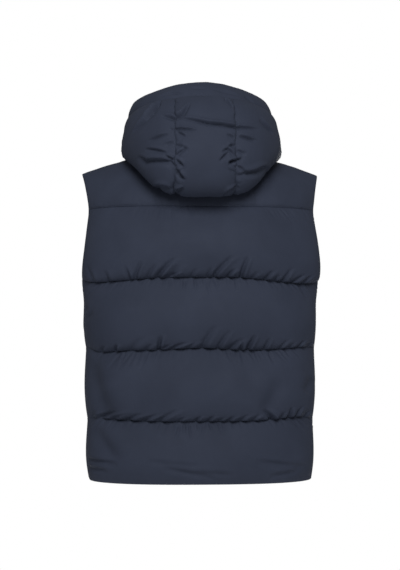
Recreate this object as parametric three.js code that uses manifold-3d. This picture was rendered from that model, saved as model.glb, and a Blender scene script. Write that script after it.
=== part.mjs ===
// A hooded down vest, filled out as when it is worn. Back and fronts are quilted into wide baffles
// below a lightly padded yoke, and a three-panel hood with a brim lies back over the shoulders.
// A separating zip closes the front up to the chin.
// Millimetres. +X is the wearer's left, -Y the front and +Z up. The origin is the middle of the
// neck, level with the points where the shoulder seams meet it.
import * as THREE from "three";
import { mergeVertices } from "three/addons/utils/BufferGeometryUtils.js";
import Module from "manifold-3d";

const wasm = await Module();
wasm.setup();

const CLOTH = { color: 0x343a48, roughness: 0.72, metalness: 0 };
const TAPE = { color: 0x20242e, roughness: 0.85, metalness: 0 };
const METAL = { color: 0x2a2d33, roughness: 0.4, metalness: 0.8 };

// Heights of the hem and of the quilting lines. The topmost line is the yoke seam.
const LEVEL = { hem: -683, lower: -557, waist: -410, chest: -271, yoke: -129 };
const NECK = { y: 5, side: 82, back: 65, front: 106, sideZ: -4, backZ: -18, frontZ: -86 };
const SHOULDER_TIP = { x: 245, z: -52 };
const SEAM = { gap: 0.36, wall: 3, sideY: 20 };

// The zip up the middle of the front. Depths are counted outwards from the cloth's inner face.
const ZIP = {
  edgeX: 8, tapeX: 7.7, tapeIn: 0.8, tapeOut: 2.2,
  chainX: 3, chainIn: 2.6, chainOut: 4.9,
  boxX: 4.6, boxHeight: 11, boxIn: 0.2, boxOut: 5.4, gap: 0.4, lift: 0.6, straight: 12,
};
const SLIDER = {
  halfWidth: 5, below: 8, above: 3.6, backIn: -1, backOut: 0.4, frontIn: 5.3, frontOut: 6.7,
  postX: 1.6, railX: 3.4, archX: 1.1, archAt: -2.2, archHalf: 1.3, archLeg: 1.2, archTop: 9.1,
};
const PULL = {
  pivotOut: 7.9, barRadius: 0.7, armIn: 1.6, armOut: 3, thick: 1.4,
  plateFrom: 4.4, plateTo: 25, plateX: 3.6,
};

// Tilt of the neck seam between the yokes and the hood, away from upright, in degrees.
const NECK_TILT = { side: 36, back: 10, front: 8 };

// Sizes of the hollow form that the cloth encloses, at each height.
const FIGURE = [
  { z: -683, side: 228, back: 124, front: 134 },
  { z: -640, side: 230, back: 125, front: 136 },
  { z: -557, side: 232, back: 126, front: 138 },
  { z: -410, side: 235, back: 127, front: 141 },
  { z: -320, side: 236, back: 130, front: 146 },
  { z: -271, side: 243, back: 133, front: 148 },
  { z: -200, side: 238, back: 134, front: 145 },
  { z: -129, side: 238, back: 127, front: 133 },
];
const ROUNDNESS = { back: 2.5, front: 2.3 };
const ARMHOLE = { back: 56, front: -60, corner: 3 };

// Padding of each piece at its fullest, how far the filling sags in a baffle, and the width
// over which it thins out towards a side seam, an armhole and the zip.
const PUFF = { back: 25, front: 23, yoke: 9, hood: 13, brim: 7, sag: 6, side: 150, edge: 70, zip: 45 };
const FULLEST = { shift: 1.3, crown: 0.62 };
const HEM = { reach: 0.94, end: 0.35, creaseZ: -643, creaseDepth: 0.3, creaseWidth: 9 };

// Gathers along the quilting lines, one to every two columns of points: how far they reach from
// the line as a share of the baffle, and how deep they are as a share of the padding.
const GATHERS = [
  { side: "above", reach: 0.36, depth: 0.34 },
  { side: "below", reach: 0.18, depth: 0.2 },
];

// The hood's inner face on half the neck, in planes through the neck's middle. Bearing 0 is the
// back and 180 the front. Each point is a distance out from the middle and a height.
const HOOD = [
  { bearing: 0, rollR: 79, rollZ: 12, underR: 118, underZ: -42, foldR: 163, foldZ: -96,
    backR: 203, backZ: -48, crownR: 189, crownZ: 28, brimR: 148, brimZ: 77, rimR: 98, rimZ: 121 },
  { bearing: 25, rollR: 80, rollZ: 13, underR: 116, underZ: -36, foldR: 160, foldZ: -90,
    backR: 198, backZ: -44, crownR: 184, crownZ: 28, brimR: 147, brimZ: 75, rimR: 98, rimZ: 119 },
  { bearing: 50, rollR: 86, rollZ: 16, underR: 112, underZ: 6, foldR: 148, foldZ: -31,
    backR: 174, backZ: -16, crownR: 167, crownZ: 32, brimR: 146, brimZ: 68, rimR: 109, rimZ: 111 },
  { bearing: 75, rollR: 91, rollZ: 18, underR: 114, underZ: 18, foldR: 146, foldZ: -5,
    backR: 152, backZ: 6, crownR: 147, crownZ: 36, brimR: 145, brimZ: 58, rimR: 131, rimZ: 100 },
  { bearing: 95, rollR: 92, rollZ: 18, underR: 114, underZ: 17, foldR: 143, foldZ: 2,
    backR: 146, backZ: 13, crownR: 143, crownZ: 33, brimR: 143, brimZ: 50, rimR: 136, rimZ: 88 },
  { bearing: 125, rollR: 97, rollZ: -2, underR: 108, underZ: 2, foldR: 118, foldZ: 5,
    backR: 124, backZ: 12, crownR: 128, crownZ: 21, brimR: 130, brimZ: 31, rimR: 127, rimZ: 66 },
  { bearing: 155, rollR: 109, rollZ: -46, underR: 113, underZ: -38, foldR: 116, foldZ: -30,
    backR: 119, backZ: -22, crownR: 121, crownZ: -14, brimR: 123, brimZ: -6, rimR: 128, rimZ: 32 },
  { bearing: 180, rollR: 111, rollZ: -66, underR: 115, underZ: -58, foldR: 118, foldZ: -50,
    backR: 121, backZ: -43, crownR: 123, crownZ: -37, brimR: 125, brimZ: -30, rimR: 130, rimZ: 8 },
];
const HOOD_RISE = 12;
const HOOD_ROWS = ["neck", "rise", "roll", "under", "fold", "back", "crown", "brim", "rim"];
const ROW = Object.fromEntries(HOOD_ROWS.map((name, k) => [name, k]));
const CENTRE_PANEL = { halfWidth: 55 };
const SEAM_FILL = 0.3;

// The hood's main creases, as straight runs between two places given by x and z on the side seen
// from behind, with their depth and half width.
const HOOD_CREASES = [
  { fromX: -46, fromZ: 34, toX: 62, toZ: 14, depth: 7, width: 9 },
  { fromX: -48, fromZ: 38, toX: -18, toZ: 58, depth: 5, width: 7 },
  { fromX: 66, fromZ: 16, toX: 104, toZ: 12, depth: 5, width: 8 },
  { fromX: -122, fromZ: 18, toX: -68, toZ: 66, depth: 6, width: 9 },
  { fromX: -92, fromZ: -14, toX: -58, toZ: 0, depth: 5, width: 8 },
  { fromX: 70, fromZ: -8, toX: 100, toZ: -18, depth: 5, width: 8 },
];

const COLUMNS = { body: 22, neck: 9, hoodSeam: 4 };
const BAFFLE_STEPS = [0, 0.05, 0.14, 0.3, 0.48, 0.66, 0.8, 0.9, 0.965];
const YOKE_ROWS = 6;
// How strongly a yoke's run holds its direction where it meets its upper edge.
const YOKE_OVER = { back: 0.5, front: 0.35 };
const INNER_STEP = { columns: 4, rows: BAFFLE_STEPS.length };

const radians = THREE.MathUtils.degToRad;
const clamp = THREE.MathUtils.clamp;
const mix = THREE.MathUtils.lerp;
const ease = (share) => THREE.MathUtils.smoothstep(share, 0, 1);
const vector = (x, y, z) => new THREE.Vector3(x, y, z);

// Value of one column of a table at a place along another, on a smooth curve through its rows.
// A mirrored table runs on as its own reflection past both ends.
function along(table, place, column, at, mirrored = false) {
  const last = table.length - 1;
  const here = clamp(at, table[0][place], table[last][place]);
  let k = 0;
  while (k < last - 1 && here > table[k + 1][place]) k += 1;
  const slope = (m) => {
    if (mirrored && (m === 0 || m === last)) return 0;
    const [from, to] = [table[Math.max(m - 1, 0)], table[Math.min(m + 1, last)]];
    return (to[column] - from[column]) / (to[place] - from[place]);
  };
  const step = table[k + 1][place] - table[k][place];
  return hermite(
    table[k][column], slope(k) * step, table[k + 1][column], slope(k + 1) * step,
    (here - table[k][place]) / step,
  );
}

function hermite(start, startSlope, end, endSlope, s) {
  return (
    start * (1 + 2 * s) * (1 - s) ** 2 + startSlope * s * (1 - s) ** 2 +
    end * s * s * (3 - 2 * s) + endSlope * s * s * (s - 1)
  );
}

function hermiteVector(start, startSlope, end, endSlope, s) {
  return vector(
    ...["x", "y", "z"].map((c) => hermite(start[c], startSlope[c], end[c], endSlope[c], s)),
  );
}

// Where the edge of a body panel lies from front to back: at the side seam up to the armhole's
// foot, and then on the armhole.
function edgeY(face, z) {
  const rise = clamp((z - LEVEL.chest) / (LEVEL.yoke - LEVEL.chest), 0, 1);
  const open = (1 - (1 - rise) ** ARMHOLE.corner) ** (1 / ARMHOLE.corner);
  return mix(SEAM.sideY, ARMHOLE[face], open);
}

// Point of the hollow form's outline at a height and a turn, from -90 degrees at the middle of
// the front through 0 at the side to 90 at the middle of the back.
function outline(z, turn) {
  const face = turn < 0 ? "front" : "back";
  const power = 2 / ROUNDNESS[face];
  const [side, depth] = ["side", face].map((column) => along(FIGURE, "z", column, z));
  return vector(
    side * Math.abs(Math.cos(turn)) ** power,
    NECK.y + Math.sign(turn) * depth * Math.abs(Math.sin(turn)) ** power,
    z,
  );
}

function turnAtY(z, y) {
  const face = y < NECK.y ? "front" : "back";
  const share = Math.abs(y - NECK.y) / along(FIGURE, "z", face, z);
  return Math.sign(y - NECK.y) * Math.asin(share ** (ROUNDNESS[face] / 2));
}

// One row of a body panel: points at even spacing from its middle edge to its side edge, the
// outward direction at each, and the distance along the cloth to both edges.
function bodyRow(face, z, count) {
  const middle = face === "back" ? Math.PI / 2
    : -Math.acos((ZIP.edgeX / along(FIGURE, "z", "side", z)) ** (ROUNDNESS.front / 2));
  const gap = face === "back" ? SEAM.gap / 2 : -SEAM.gap / 2;
  const side = turnAtY(z, edgeY(face, z) + gap);
  const fine = 240;
  const points = Array.from({ length: fine + 1 }, (_, k) => outline(z, mix(middle, side, k / fine)));
  const run = [0];
  points.slice(1).forEach((p, k) => run.push(run[k] + p.distanceTo(points[k])));
  const total = run[fine];
  let k = 0;
  return Array.from({ length: count + 1 }, (_, i) => {
    const target = (total * i) / count;
    while (k < fine - 1 && run[k + 1] < target) k += 1;
    const share = clamp((target - run[k]) / (run[k + 1] - run[k]), 0, 1);
    const point = points[k].clone().lerp(points[k + 1], share);
    const tangent = points[Math.min(k + 2, fine)].clone().sub(points[Math.max(k - 1, 0)]);
    const out = vector(-tangent.y, tangent.x, 0).normalize();
    if (face === "front") out.negate();
    if (i === 0 && face === "back") out.set(0, 1, 0);
    if (out.dot(vector(point.x, point.y - NECK.y, 0)) < 0) out.negate();
    return { point, out, toMiddle: target, toSide: total - target };
  });
}

// How full a baffle is at a share of its height, measured down from its upper seam: nothing at
// the seams and most just below the middle, where the filling sinks.
function fullness(share) {
  return Math.sin(Math.PI * clamp(share, 0, 1) ** FULLEST.shift) ** FULLEST.crown;
}

function thinning(distance, width, power = 0.5) {
  return (1 - (1 - clamp(distance / width, 0, 1)) ** 2) ** power;
}

// Share by which the gathers change the padding at a share of the baffle's height.
function gathers(share, column, baffle) {
  const turn = column % 2 === 0 ? 1 : -1;
  const size = 0.72 + 0.28 * Math.sin(7.3 * column + 3.1 * baffle);
  return GATHERS.reduce((sum, row) => {
    const fromLine = (row.side === "above" ? 1 - share : share) / row.reach;
    return sum + row.depth * Math.max(0, 1 - fromLine) * turn * size;
  }, 0);
}

// A closed wall between an outer grid of points and a sparser inner one, which share the
// panel's edges. Inner cells reach to every edge point, so that the wall has no gaps.
function wall(name, outer, inner, look, innerStep = { columns: 1, rows: 1 }) {
  const [columns, rows] = [outer.length - 1, outer[0].length - 1];
  const index = (layer, i, j) => layer * (columns + 1) * (rows + 1) + i * (rows + 1) + j;
  const positions = [outer, inner].flatMap((grid) => grid.flat().flatMap((p) => p.toArray()));
  const faces = [];
  for (let i = 0; i < columns; i += 1) {
    for (let j = 0; j < rows; j += 1) {
      const corners = [[i, j], [i + 1, j], [i + 1, j + 1], [i, j + 1]];
      const [a, b, c, d] = corners.map(([m, n]) => index(0, m, n));
      faces.push((i + j) % 2 ? [a, b, c, a, c, d] : [a, b, d, b, c, d]);
    }
  }
  for (let i = 0; i < columns; i += innerStep.columns) {
    for (let j = 0; j < rows; j += innerStep.rows) {
      faces.push(innerCell(i, j, columns, rows, innerStep, index));
    }
  }
  for (let i = 0; i < columns; i += 1) {
    [0, rows].forEach((j) => {
      const towardsMiddle = Math.abs(outer[i][j].x) > Math.abs(outer[i + 1][j].x);
      faces.push(strip(index, [i, j], [i + 1, j], j > 0, towardsMiddle));
    });
  }
  for (let j = 0; j < rows; j += 1) {
    faces.push(strip(index, [0, j], [0, j + 1], true), strip(index, [columns, j], [columns, j + 1], false));
  }
  const geometry = new THREE.BufferGeometry();
  geometry.setAttribute("position", new THREE.Float32BufferAttribute(positions, 3));
  geometry.setIndex(faces.flat());
  return closedMesh(name, geometry, look);
}

function innerCell(i, j, columns, rows, step, index) {
  const [right, top] = [Math.min(i + step.columns, columns), Math.min(j + step.rows, rows)];
  const ring = [];
  const side = (from, to, dense) => {
    const length = Math.max(Math.abs(to[0] - from[0]), Math.abs(to[1] - from[1]));
    for (let k = 0; k < length; k += dense ? 1 : length) {
      ring.push([0, 1].map((c) => from[c] + (Math.sign(to[c] - from[c]) * k)));
    }
  };
  const corners = [[i, j], [i, top], [right, top], [right, j]];
  const dense = [i === 0, top === rows, right === columns, j === 0];
  corners.forEach((corner, k) => side(corner, corners[(k + 1) % 4], dense[k]));
  const inside = corners.findIndex((_, k) => !dense[k] && !dense[(k + 3) % 4]);
  const hub = corners[Math.max(inside, 0)];
  const start = ring.findIndex((p) => p[0] === hub[0] && p[1] === hub[1]);
  const turned = [...ring.slice(start), ...ring.slice(0, start)].map((p) => index(1, ...p));
  return turned.slice(1, -1).flatMap((p, k) => [turned[0], p, turned[k + 2]]);
}

// The edge of a wall between two neighbouring points. It is split across the same corners on
// both sides of a seam, whichever way round the two grids run.
function strip(index, from, to, turned, crossed = false) {
  const [a, b] = [index(0, ...from), index(0, ...to)];
  const [c, d] = [index(1, ...to), index(1, ...from)];
  if (crossed) return turned ? [a, b, d, b, c, d] : [a, d, b, d, c, b];
  return turned ? [a, b, c, a, c, d] : [a, c, b, a, d, c];
}

function closedMesh(name, geometry, look) {
  return meshOf(name, solid(geometry), look);
}

function meshOf(name, made, look) {
  const mesh = made.getMesh();
  const shown = new THREE.BufferGeometry();
  shown.setAttribute("position", new THREE.BufferAttribute(mesh.vertProperties, 3));
  shown.setIndex(new THREE.BufferAttribute(mesh.triVerts, 1));
  const result = new THREE.Mesh(shown, new THREE.MeshStandardMaterial(look));
  result.name = name;
  return result;
}

// The solid inside a closed surface, with its faces turned to point out.
function solid(geometry) {
  const bare = geometry.clone();
  ["normal", "uv"].forEach((attribute) => bare.deleteAttribute(attribute));
  const merged = mergeVertices(bare, 1e-4);
  const vertProperties = new Float32Array(merged.attributes.position.array);
  const triVerts = new Uint32Array(merged.index.array);
  if (signedVolume(vertProperties, triVerts) < 0) {
    for (let t = 0; t < triVerts.length; t += 3) {
      [triVerts[t + 1], triVerts[t + 2]] = [triVerts[t + 2], triVerts[t + 1]];
    }
  }
  return new wasm.Manifold(new wasm.Mesh({ numProp: 3, vertProperties, triVerts }));
}

function signedVolume(points, triangles) {
  const corner = (k) => vector(...points.subarray(3 * triangles[k], 3 * triangles[k] + 3));
  let sum = 0;
  for (let t = 0; t < triangles.length; t += 3) {
    sum += corner(t).dot(corner(t + 1).cross(corner(t + 2)));
  }
  return sum;
}

const mirrorX = (p) => vector(-p.x, p.y, p.z);
const mirroredGrid = (grid) => grid.map((line) => line.map(mirrorX));
const flipped = ({ inner, outer }) => ({ inner: mirroredGrid(inner), outer: mirroredGrid(outer) });

const QUILT_LINES = [LEVEL.yoke, LEVEL.chest, LEVEL.waist, LEVEL.lower, LEVEL.hem];
const HEM_BAFFLE = QUILT_LINES.length - 2;

// Heights of a body panel's rows, from the hem to the yoke seam, each with its baffle.
function bodyLevels() {
  const levels = QUILT_LINES.slice(1).flatMap((bottom, baffle) =>
    BAFFLE_STEPS.map((share) => ({ z: mix(QUILT_LINES[baffle], bottom, share), share, baffle })));
  levels.push({ z: LEVEL.hem, share: 1, baffle: HEM_BAFFLE });
  levels[0].z -= SEAM.gap / 2;
  return levels.reverse();
}

// Outer point of a body panel over an inner one.
function padded(face, spot, level, column) {
  const onArmhole = level.z > LEVEL.chest;
  const atSide = thinning(spot.toSide, onArmhole ? PUFF.edge : PUFF.side, onArmhole ? 0.5 : 1.3);
  const atMiddle = face === "front" ? 0.2 + 0.8 * thinning(spot.toMiddle, PUFF.zip) : 1;
  const low = level.baffle === HEM_BAFFLE;
  const crease = 1 - HEM.creaseDepth * Math.exp(-(((level.z - HEM.creaseZ) / HEM.creaseWidth) ** 2));
  const atHem = low ? crease * (level.share === 1 ? HEM.end : 1) : 1;
  const fill = fullness(level.share * (low ? HEM.reach : 1)) * atSide * atMiddle * atHem;
  const swell = 1 + 0.05 * Math.sin(0.31 * column + 2.1 * level.baffle);
  const wave = swell + gathers(level.share, column, level.baffle) * (low && level.share > 0.5 ? 0.4 : 1);
  const sag = PUFF.sag * fill * level.share;
  const out = SEAM.wall + PUFF[face] * fill * wave;
  const drop = vector(0, 0, low ? -sag * (1 - level.share) : -sag);
  return spot.point.clone().addScaledVector(spot.out, out).add(drop);
}

function bodyPanel(face) {
  const lines = bodyLevels().map((level) => {
    const row = bodyRow(face, level.z, COLUMNS.body);
    const inner = row.map((spot) => spot.point);
    const outer = row.map((spot, i) => padded(face, spot, level, i));
    if (face === "front") return { inner, outer };
    const far = row.map((spot, i) => mirrorX(padded(face, spot, level, -i)));
    return {
      inner: [...inner.slice(1).map(mirrorX).reverse(), ...inner],
      outer: [...far.slice(1).reverse(), ...outer],
    };
  });
  return {
    inner: lines[0].inner.map((_, i) => lines.map((line) => line.inner[i])),
    outer: lines[0].outer.map((_, i) => lines.map((line) => line.outer[i])),
  };
}

// The neck seam at a bearing, from 0 at the back to 180 degrees at the front.
function neckPoint(bearing) {
  const [across, away] = [Math.sin(bearing), Math.cos(bearing)];
  const depth = away > 0 ? NECK.back : NECK.front;
  const reach = 1 / Math.hypot(across / NECK.side, away / depth);
  const z = away > 0 ? mix(NECK.sideZ, NECK.backZ, away ** 2)
    : mix(NECK.sideZ, NECK.frontZ, Math.abs(away) ** 1.5);
  return vector(reach * across, NECK.y + reach * away, z);
}

// Level direction away from the neck at a bearing of its seam.
function neckAway(bearing) {
  const point = neckPoint(bearing);
  const depth = bearing > Math.PI / 2 ? NECK.front : NECK.back;
  return vector(point.x / NECK.side ** 2, (point.y - NECK.y) / depth ** 2, 0).normalize();
}

// Direction out of the cloth at the neck seam, halfway between the yoke's and the hood's.
function neckOut(bearing, times = 1) {
  const end = bearing > Math.PI / 2 ? NECK_TILT.front : NECK_TILT.back;
  const tilt = times * radians(mix(end, NECK_TILT.side, Math.sin(bearing) ** 4));
  return neckAway(bearing).multiplyScalar(Math.cos(tilt)).add(vector(0, 0, Math.sin(tilt)));
}

const ZIP_BEARING = Math.PI - Math.asin(ZIP.edgeX / NECK.front);

// Bearing of a column on the neck seam, counted from the middle of the back.
function neckBearing(column) {
  const beyond = column - COLUMNS.neck;
  return beyond <= 0 ? (Math.PI / 2) * (column / COLUMNS.neck)
    : mix(Math.PI / 2, ZIP_BEARING, beyond / COLUMNS.neck);
}

const SHOULDER_UP = vector(SHOULDER_TIP.x - NECK.side, 0, SHOULDER_TIP.z - NECK.sideZ)
  .normalize().cross(vector(0, 1, 0));

// Upper edge of a yoke at a column from its middle: the neck seam and then the shoulder seam,
// with the outward direction of the cloth there and the way the yoke runs up to it.
function yokeTop(face, column) {
  const side = face === "back" ? 1 : -1;
  const overShoulder = vector(0, -side, 0);
  if (column > COLUMNS.neck) {
    const part = (column - COLUMNS.neck) / (COLUMNS.body - COLUMNS.neck);
    const slope = overShoulder;
    const point = vector(
      mix(NECK.side, SHOULDER_TIP.x, part), NECK.y, mix(NECK.sideZ, SHOULDER_TIP.z, part),
    ).add(vector(0, (side * SEAM.gap) / 2, 0));
    return { point, out: SHOULDER_UP.clone(), slope };
  }
  const bearing = neckBearing(face === "back" ? column : 2 * COLUMNS.neck - column);
  const point = neckPoint(bearing);
  if (column === COLUMNS.neck) point.y += (side * SEAM.gap) / 2;
  const [away, cloth] = [neckAway(bearing), neckOut(bearing, 2)];
  const upward = away.multiplyScalar(-cloth.z).add(vector(0, 0, Math.hypot(cloth.x, cloth.y)));
  const turn = ease((column - COLUMNS.neck + 4) / 6);
  return { point, out: neckOut(bearing), slope: upward.lerp(overShoulder, turn).normalize() };
}

// A yoke from the yoke seam up over the shoulder, on half the body.
function halfYoke(face) {
  const half = COLUMNS.body;
  const base = bodyRow(face, LEVEL.yoke + SEAM.gap / 2, half);
  const at = (i, s) => {
    const top = yokeTop(face, i);
    const start = base[i].point;
    const reach = start.distanceTo(top.point);
    const rise = vector(0, 0, 0.7 * reach);
    const over = top.slope.clone().multiplyScalar(YOKE_OVER[face] * reach);
    return hermiteVector(start, rise, top.point, over, s);
  };
  const inner = base.map((_, i) => Array.from({ length: YOKE_ROWS + 1 }, (_, j) => at(i, j / YOKE_ROWS)));
  const outer = inner.map((line, i) => line.map((p, j) => {
    const s = j / YOKE_ROWS;
    const up = at(i, Math.min(s + 0.02, 1)).sub(at(i, Math.max(s - 0.02, 0)));
    const across = at(Math.min(i + 1, half), s).sub(at(Math.max(i - 1, 0), s));
    let out = face === "back" ? up.cross(across).normalize() : across.cross(up).normalize();
    if (i === 0 && face === "back") out.x = 0;
    if (j === 0) out = base[i].out;
    if (j === YOKE_ROWS) out = yokeTop(face, i).out;
    const toTip = base[i].toSide;
    const fill = Math.sin(Math.PI * clamp(s, 0, 1)) ** 0.7 * thinning(toTip, PUFF.edge);
    const atMiddle = face === "front" ? thinning(base[i].toMiddle, PUFF.zip) : 1;
    return p.clone().addScaledVector(out, SEAM.wall + PUFF.yoke * fill * atMiddle);
  }));
  return { inner, outer };
}

function withMirror(grid) {
  return [...mirroredGrid(grid).slice(1).reverse(), ...grid];
}

// Control points of the hood's inner face at a bearing, from the neck seam to the rim.
function hoodLine(bearing) {
  const degrees = THREE.MathUtils.radToDeg(bearing);
  const direction = vector(Math.sin(bearing), Math.cos(bearing), 0);
  const onward = neckPoint(bearing + 0.01).sub(neckPoint(bearing - 0.01));
  const lift = onward.cross(neckOut(bearing)).normalize().multiplyScalar(1.5 * SEAM.gap);
  const neck = neckPoint(bearing).add(lift);
  const rise = neck.clone().add(vector(0, 0, HOOD_RISE));
  const rest = HOOD_ROWS.slice(ROW.roll).map((row) => {
    const [reach, z] = ["R", "Z"].map((c) => along(HOOD, "bearing", row + c, degrees, true));
    return direction.clone().multiplyScalar(reach).add(vector(0, NECK.y, z));
  });
  return [neck, rise, ...rest];
}

// Point of the hood's inner face at a bearing and a row, which may lie between two rows.
function hoodPoint(bearing, row) {
  const line = hoodLine(bearing);
  const k = clamp(Math.floor(row), 0, line.length - 2);
  const slope = (m) => line[Math.min(m + 1, line.length - 1)].clone()
    .sub(line[Math.max(m - 1, 0)]).multiplyScalar(m === 0 || m === line.length - 1 ? 1 : 0.5);
  const first = k === 0 ? vector(0, 0, HOOD_RISE) : slope(k);
  return hermiteVector(line[k], first, line[k + 1], slope(k + 1), row - k);
}

function hoodOut(bearing, row) {
  const [turn, step] = [0.01, 0.02];
  if (row < step) return neckOut(bearing);
  const across = hoodPoint(bearing + turn, row).sub(hoodPoint(bearing - turn, row));
  const up = hoodPoint(bearing, Math.min(row + step, ROW.rim)).sub(hoodPoint(bearing, row - step));
  return up.cross(across).normalize();
}

// Bearing at which a hood row crosses a distance from the middle plane, near the back or front.
function bearingAtX(x, row, atFront) {
  let [low, high] = atFront ? [Math.PI * 0.8, Math.PI] : [0, Math.PI / 3];
  for (let k = 0; k < 30; k += 1) {
    const middle = (low + high) / 2;
    const beyond = hoodPoint(middle, row).x > x;
    if (beyond === atFront) low = middle;
    else high = middle;
  }
  return (low + high) / 2;
}

// Bearing of a hood column at a row. The seams beside the centre panel keep their distance from
// the middle plane, and a panel that ends at a seam stays half a seam gap away from it.
function hoodBearing(column, row, gapSide = 0) {
  const half = mix(neckPoint(neckBearing(COLUMNS.hoodSeam)).x, CENTRE_PANEL.halfWidth, ease(row / ROW.fold));
  const seam = bearingAtX(half + (gapSide * SEAM.gap) / 2, row, false);
  const size = Math.abs(column);
  if (size <= COLUMNS.hoodSeam) return seam * (column / COLUMNS.hoodSeam);
  const [first, last] = [neckBearing(COLUMNS.hoodSeam), ZIP_BEARING];
  const share = (neckBearing(size) - first) / (last - first);
  return Math.sign(column) * mix(seam, bearingAtX(ZIP.edgeX, row, true), share);
}

// Padding of a hood panel at a row and at a distance from its nearer seam.
function hoodFill(row, seamDistance) {
  const start = ease((row - ROW.roll) / (ROW.fold - ROW.roll));
  const end = mix(SEAM_FILL, 1, thinning(ROW.brim - row, 0.9));
  const low = Math.min(row, 0.9) / 0.9;
  return low * mix(0.12, 1, start) * end * mix(SEAM_FILL, 1, thinning(seamDistance, 42));
}

// Depth taken from the hood's padding by its creases, near one of their straight runs.
function creaseDepth(point, row) {
  if (row <= ROW.fold || row >= ROW.brim) return 0;
  return HOOD_CREASES.reduce((sum, line) => {
    const [dx, dz] = [line.toX - line.fromX, line.toZ - line.fromZ];
    const [px, pz] = [point.x - line.fromX, point.z - line.fromZ];
    const share = clamp((px * dx + pz * dz) / (dx * dx + dz * dz), 0, 1);
    const away = Math.hypot(px - share * dx, pz - share * dz) / line.width;
    return sum + line.depth * Math.exp(-(away ** 2)) * (1 - (2 * share - 1) ** 6);
  }, 0);
}

function brimFill(row, endDistance) {
  const share = clamp(row - ROW.brim, 0, 1);
  const start = 0.55 * (1 - share) ** 6;
  return Math.max(start, Math.sin(Math.PI * share) ** 0.6) * mix(SEAM_FILL, 1, thinning(endDistance, 30));
}

// A hood wall between two columns. A row may stop half a seam gap short of its place.
function hoodWall(from, to, rows, gapSide, fill, puff, left = true) {
  const columns = Array.from({ length: to - from + 1 }, (_, k) => from + k);
  const grid = columns.map((column) => rows.map(({ row, gap = 0 }) => {
    const bearing = hoodBearing(column, row, gapSide);
    const size = Math.abs(bearing);
    const speed = hoodPoint(size, row + 0.01).distanceTo(hoodPoint(size, row - 0.01)) / 0.02;
    const place = row + (gap * SEAM.gap) / 2 / speed;
    const [point, out] = [hoodPoint(size, place), hoodOut(size, place)];
    if (column === 0) [point.x, out.x] = [0, 0];
    return bearing < 0 ? { point: mirrorX(point), out: mirrorX(out), row } : { point, out, row };
  }));
  const inner = grid.map((line) => line.map((spot) => spot.point));
  const [start, end] = [inner[0], inner[inner.length - 1]];
  const outer = grid.map((line) => line.map((spot, j) => {
    const seam = Math.min(spot.point.distanceTo(start[j]), spot.point.distanceTo(end[j]));
    const shown = left ? spot.point : mirrorX(spot.point);
    const puffed = puff * fill(spot.row, seam) - creaseDepth(shown, spot.row) * thinning(seam, 12);
    return spot.point.clone().addScaledVector(spot.out, SEAM.wall + Math.max(puffed, 0));
  }));
  return { inner, outer };
}

const between = (from, to, steps) =>
  Array.from({ length: steps }, (_, k) => ({ row: mix(from, to, k / steps) }));
const HOOD_PANEL_ROWS = [
  ...between(ROW.neck, ROW.rise, 1), ...between(ROW.rise, ROW.roll, 2), ...between(ROW.roll, ROW.under, 2),
  ...between(ROW.under, ROW.fold, 2), ...between(ROW.fold, ROW.back, 4), ...between(ROW.back, ROW.crown, 5),
  ...between(ROW.crown, ROW.brim, 5), { row: ROW.brim, gap: -1 },
];
const BRIM_ROWS = [
  { row: ROW.brim, gap: 1 }, ...between(ROW.brim, ROW.rim, 4).slice(1), { row: ROW.rim },
];

const vest = new THREE.Group();

function add(name, geometry, look) {
  vest.add(closedMesh(name, geometry, look));
}

function addWall(name, { inner, outer }, look = CLOTH, step = undefined) {
  vest.add(wall(name, outer, inner, look, step));
}

function addPair(name, grids, look, step) {
  addWall(name + "_left", grids, look, step);
  addWall(name + "_right", flipped(grids), look, step);
}

const fronts = bodyPanel("front");
addWall("back_panel", bodyPanel("back"), CLOTH, INNER_STEP);
addPair("front", fronts, CLOTH, { columns: 2, rows: INNER_STEP.rows });

const backYoke = halfYoke("back");
const frontYoke = halfYoke("front");
addWall("back_yoke", { inner: withMirror(backYoke.inner), outer: withMirror(backYoke.outer) });
addPair("front_yoke", frontYoke);

const [seam, last] = [COLUMNS.hoodSeam, 2 * COLUMNS.neck];
const [hoodLeft, hoodRight] = [true, false].map((left) =>
  hoodWall(seam, last, HOOD_PANEL_ROWS, 1, hoodFill, PUFF.hood, left));
const brim = hoodWall(-last, last, BRIM_ROWS, 0, brimFill, PUFF.brim);
addWall("hood_centre", hoodWall(-seam, seam, HOOD_PANEL_ROWS, -1, hoodFill, PUFF.hood));
addWall("hood_side_left", hoodLeft);
addWall("hood_side_right", flipped(hoodRight));
addWall("hood_brim", brim);

// The zip's course up the middle, on the cloth's inner face, from above its box to below the
// slider's post.
function zipCourse() {
  const edges = [fronts, frontYoke].flatMap(({ inner }) => inner[0]);
  const hood = [hoodLeft, brim].flatMap(({ inner }) => inner[inner.length - 1]);
  const points = [...edges, ...hood].map((p) => vector(0, p.y, p.z)).filter((p, k) => k % 2 === 0);
  const foot = vector(0, points[0].y, LEVEL.hem + ZIP.boxHeight + ZIP.lift);
  const top = vector(0, hood[hood.length - 1].y, hood[hood.length - 1].z);
  const middle = points.filter((p) => p.z > foot.z + ZIP.straight && p.z < top.z - ZIP.straight);
  const up = top.clone().sub(middle[middle.length - 1]).normalize();
  return [foot, ...middle, top.addScaledVector(up, -SLIDER.above - ZIP.gap)];
}

// A band along the zip's course between two distances from its middle and two depths.
function zipBand(course, fromX, toX, inside, outside) {
  const layer = (depth) => [fromX, toX].map((x) => course.map((p, k) => {
    const up = course[Math.min(k + 1, course.length - 1)].clone().sub(course[Math.max(k - 1, 0)]);
    const out = vector(0, -up.z, up.y).normalize();
    return vector(x, p.y, p.z).addScaledVector(out, depth);
  }));
  return { inner: layer(inside), outer: layer(outside) };
}

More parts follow.
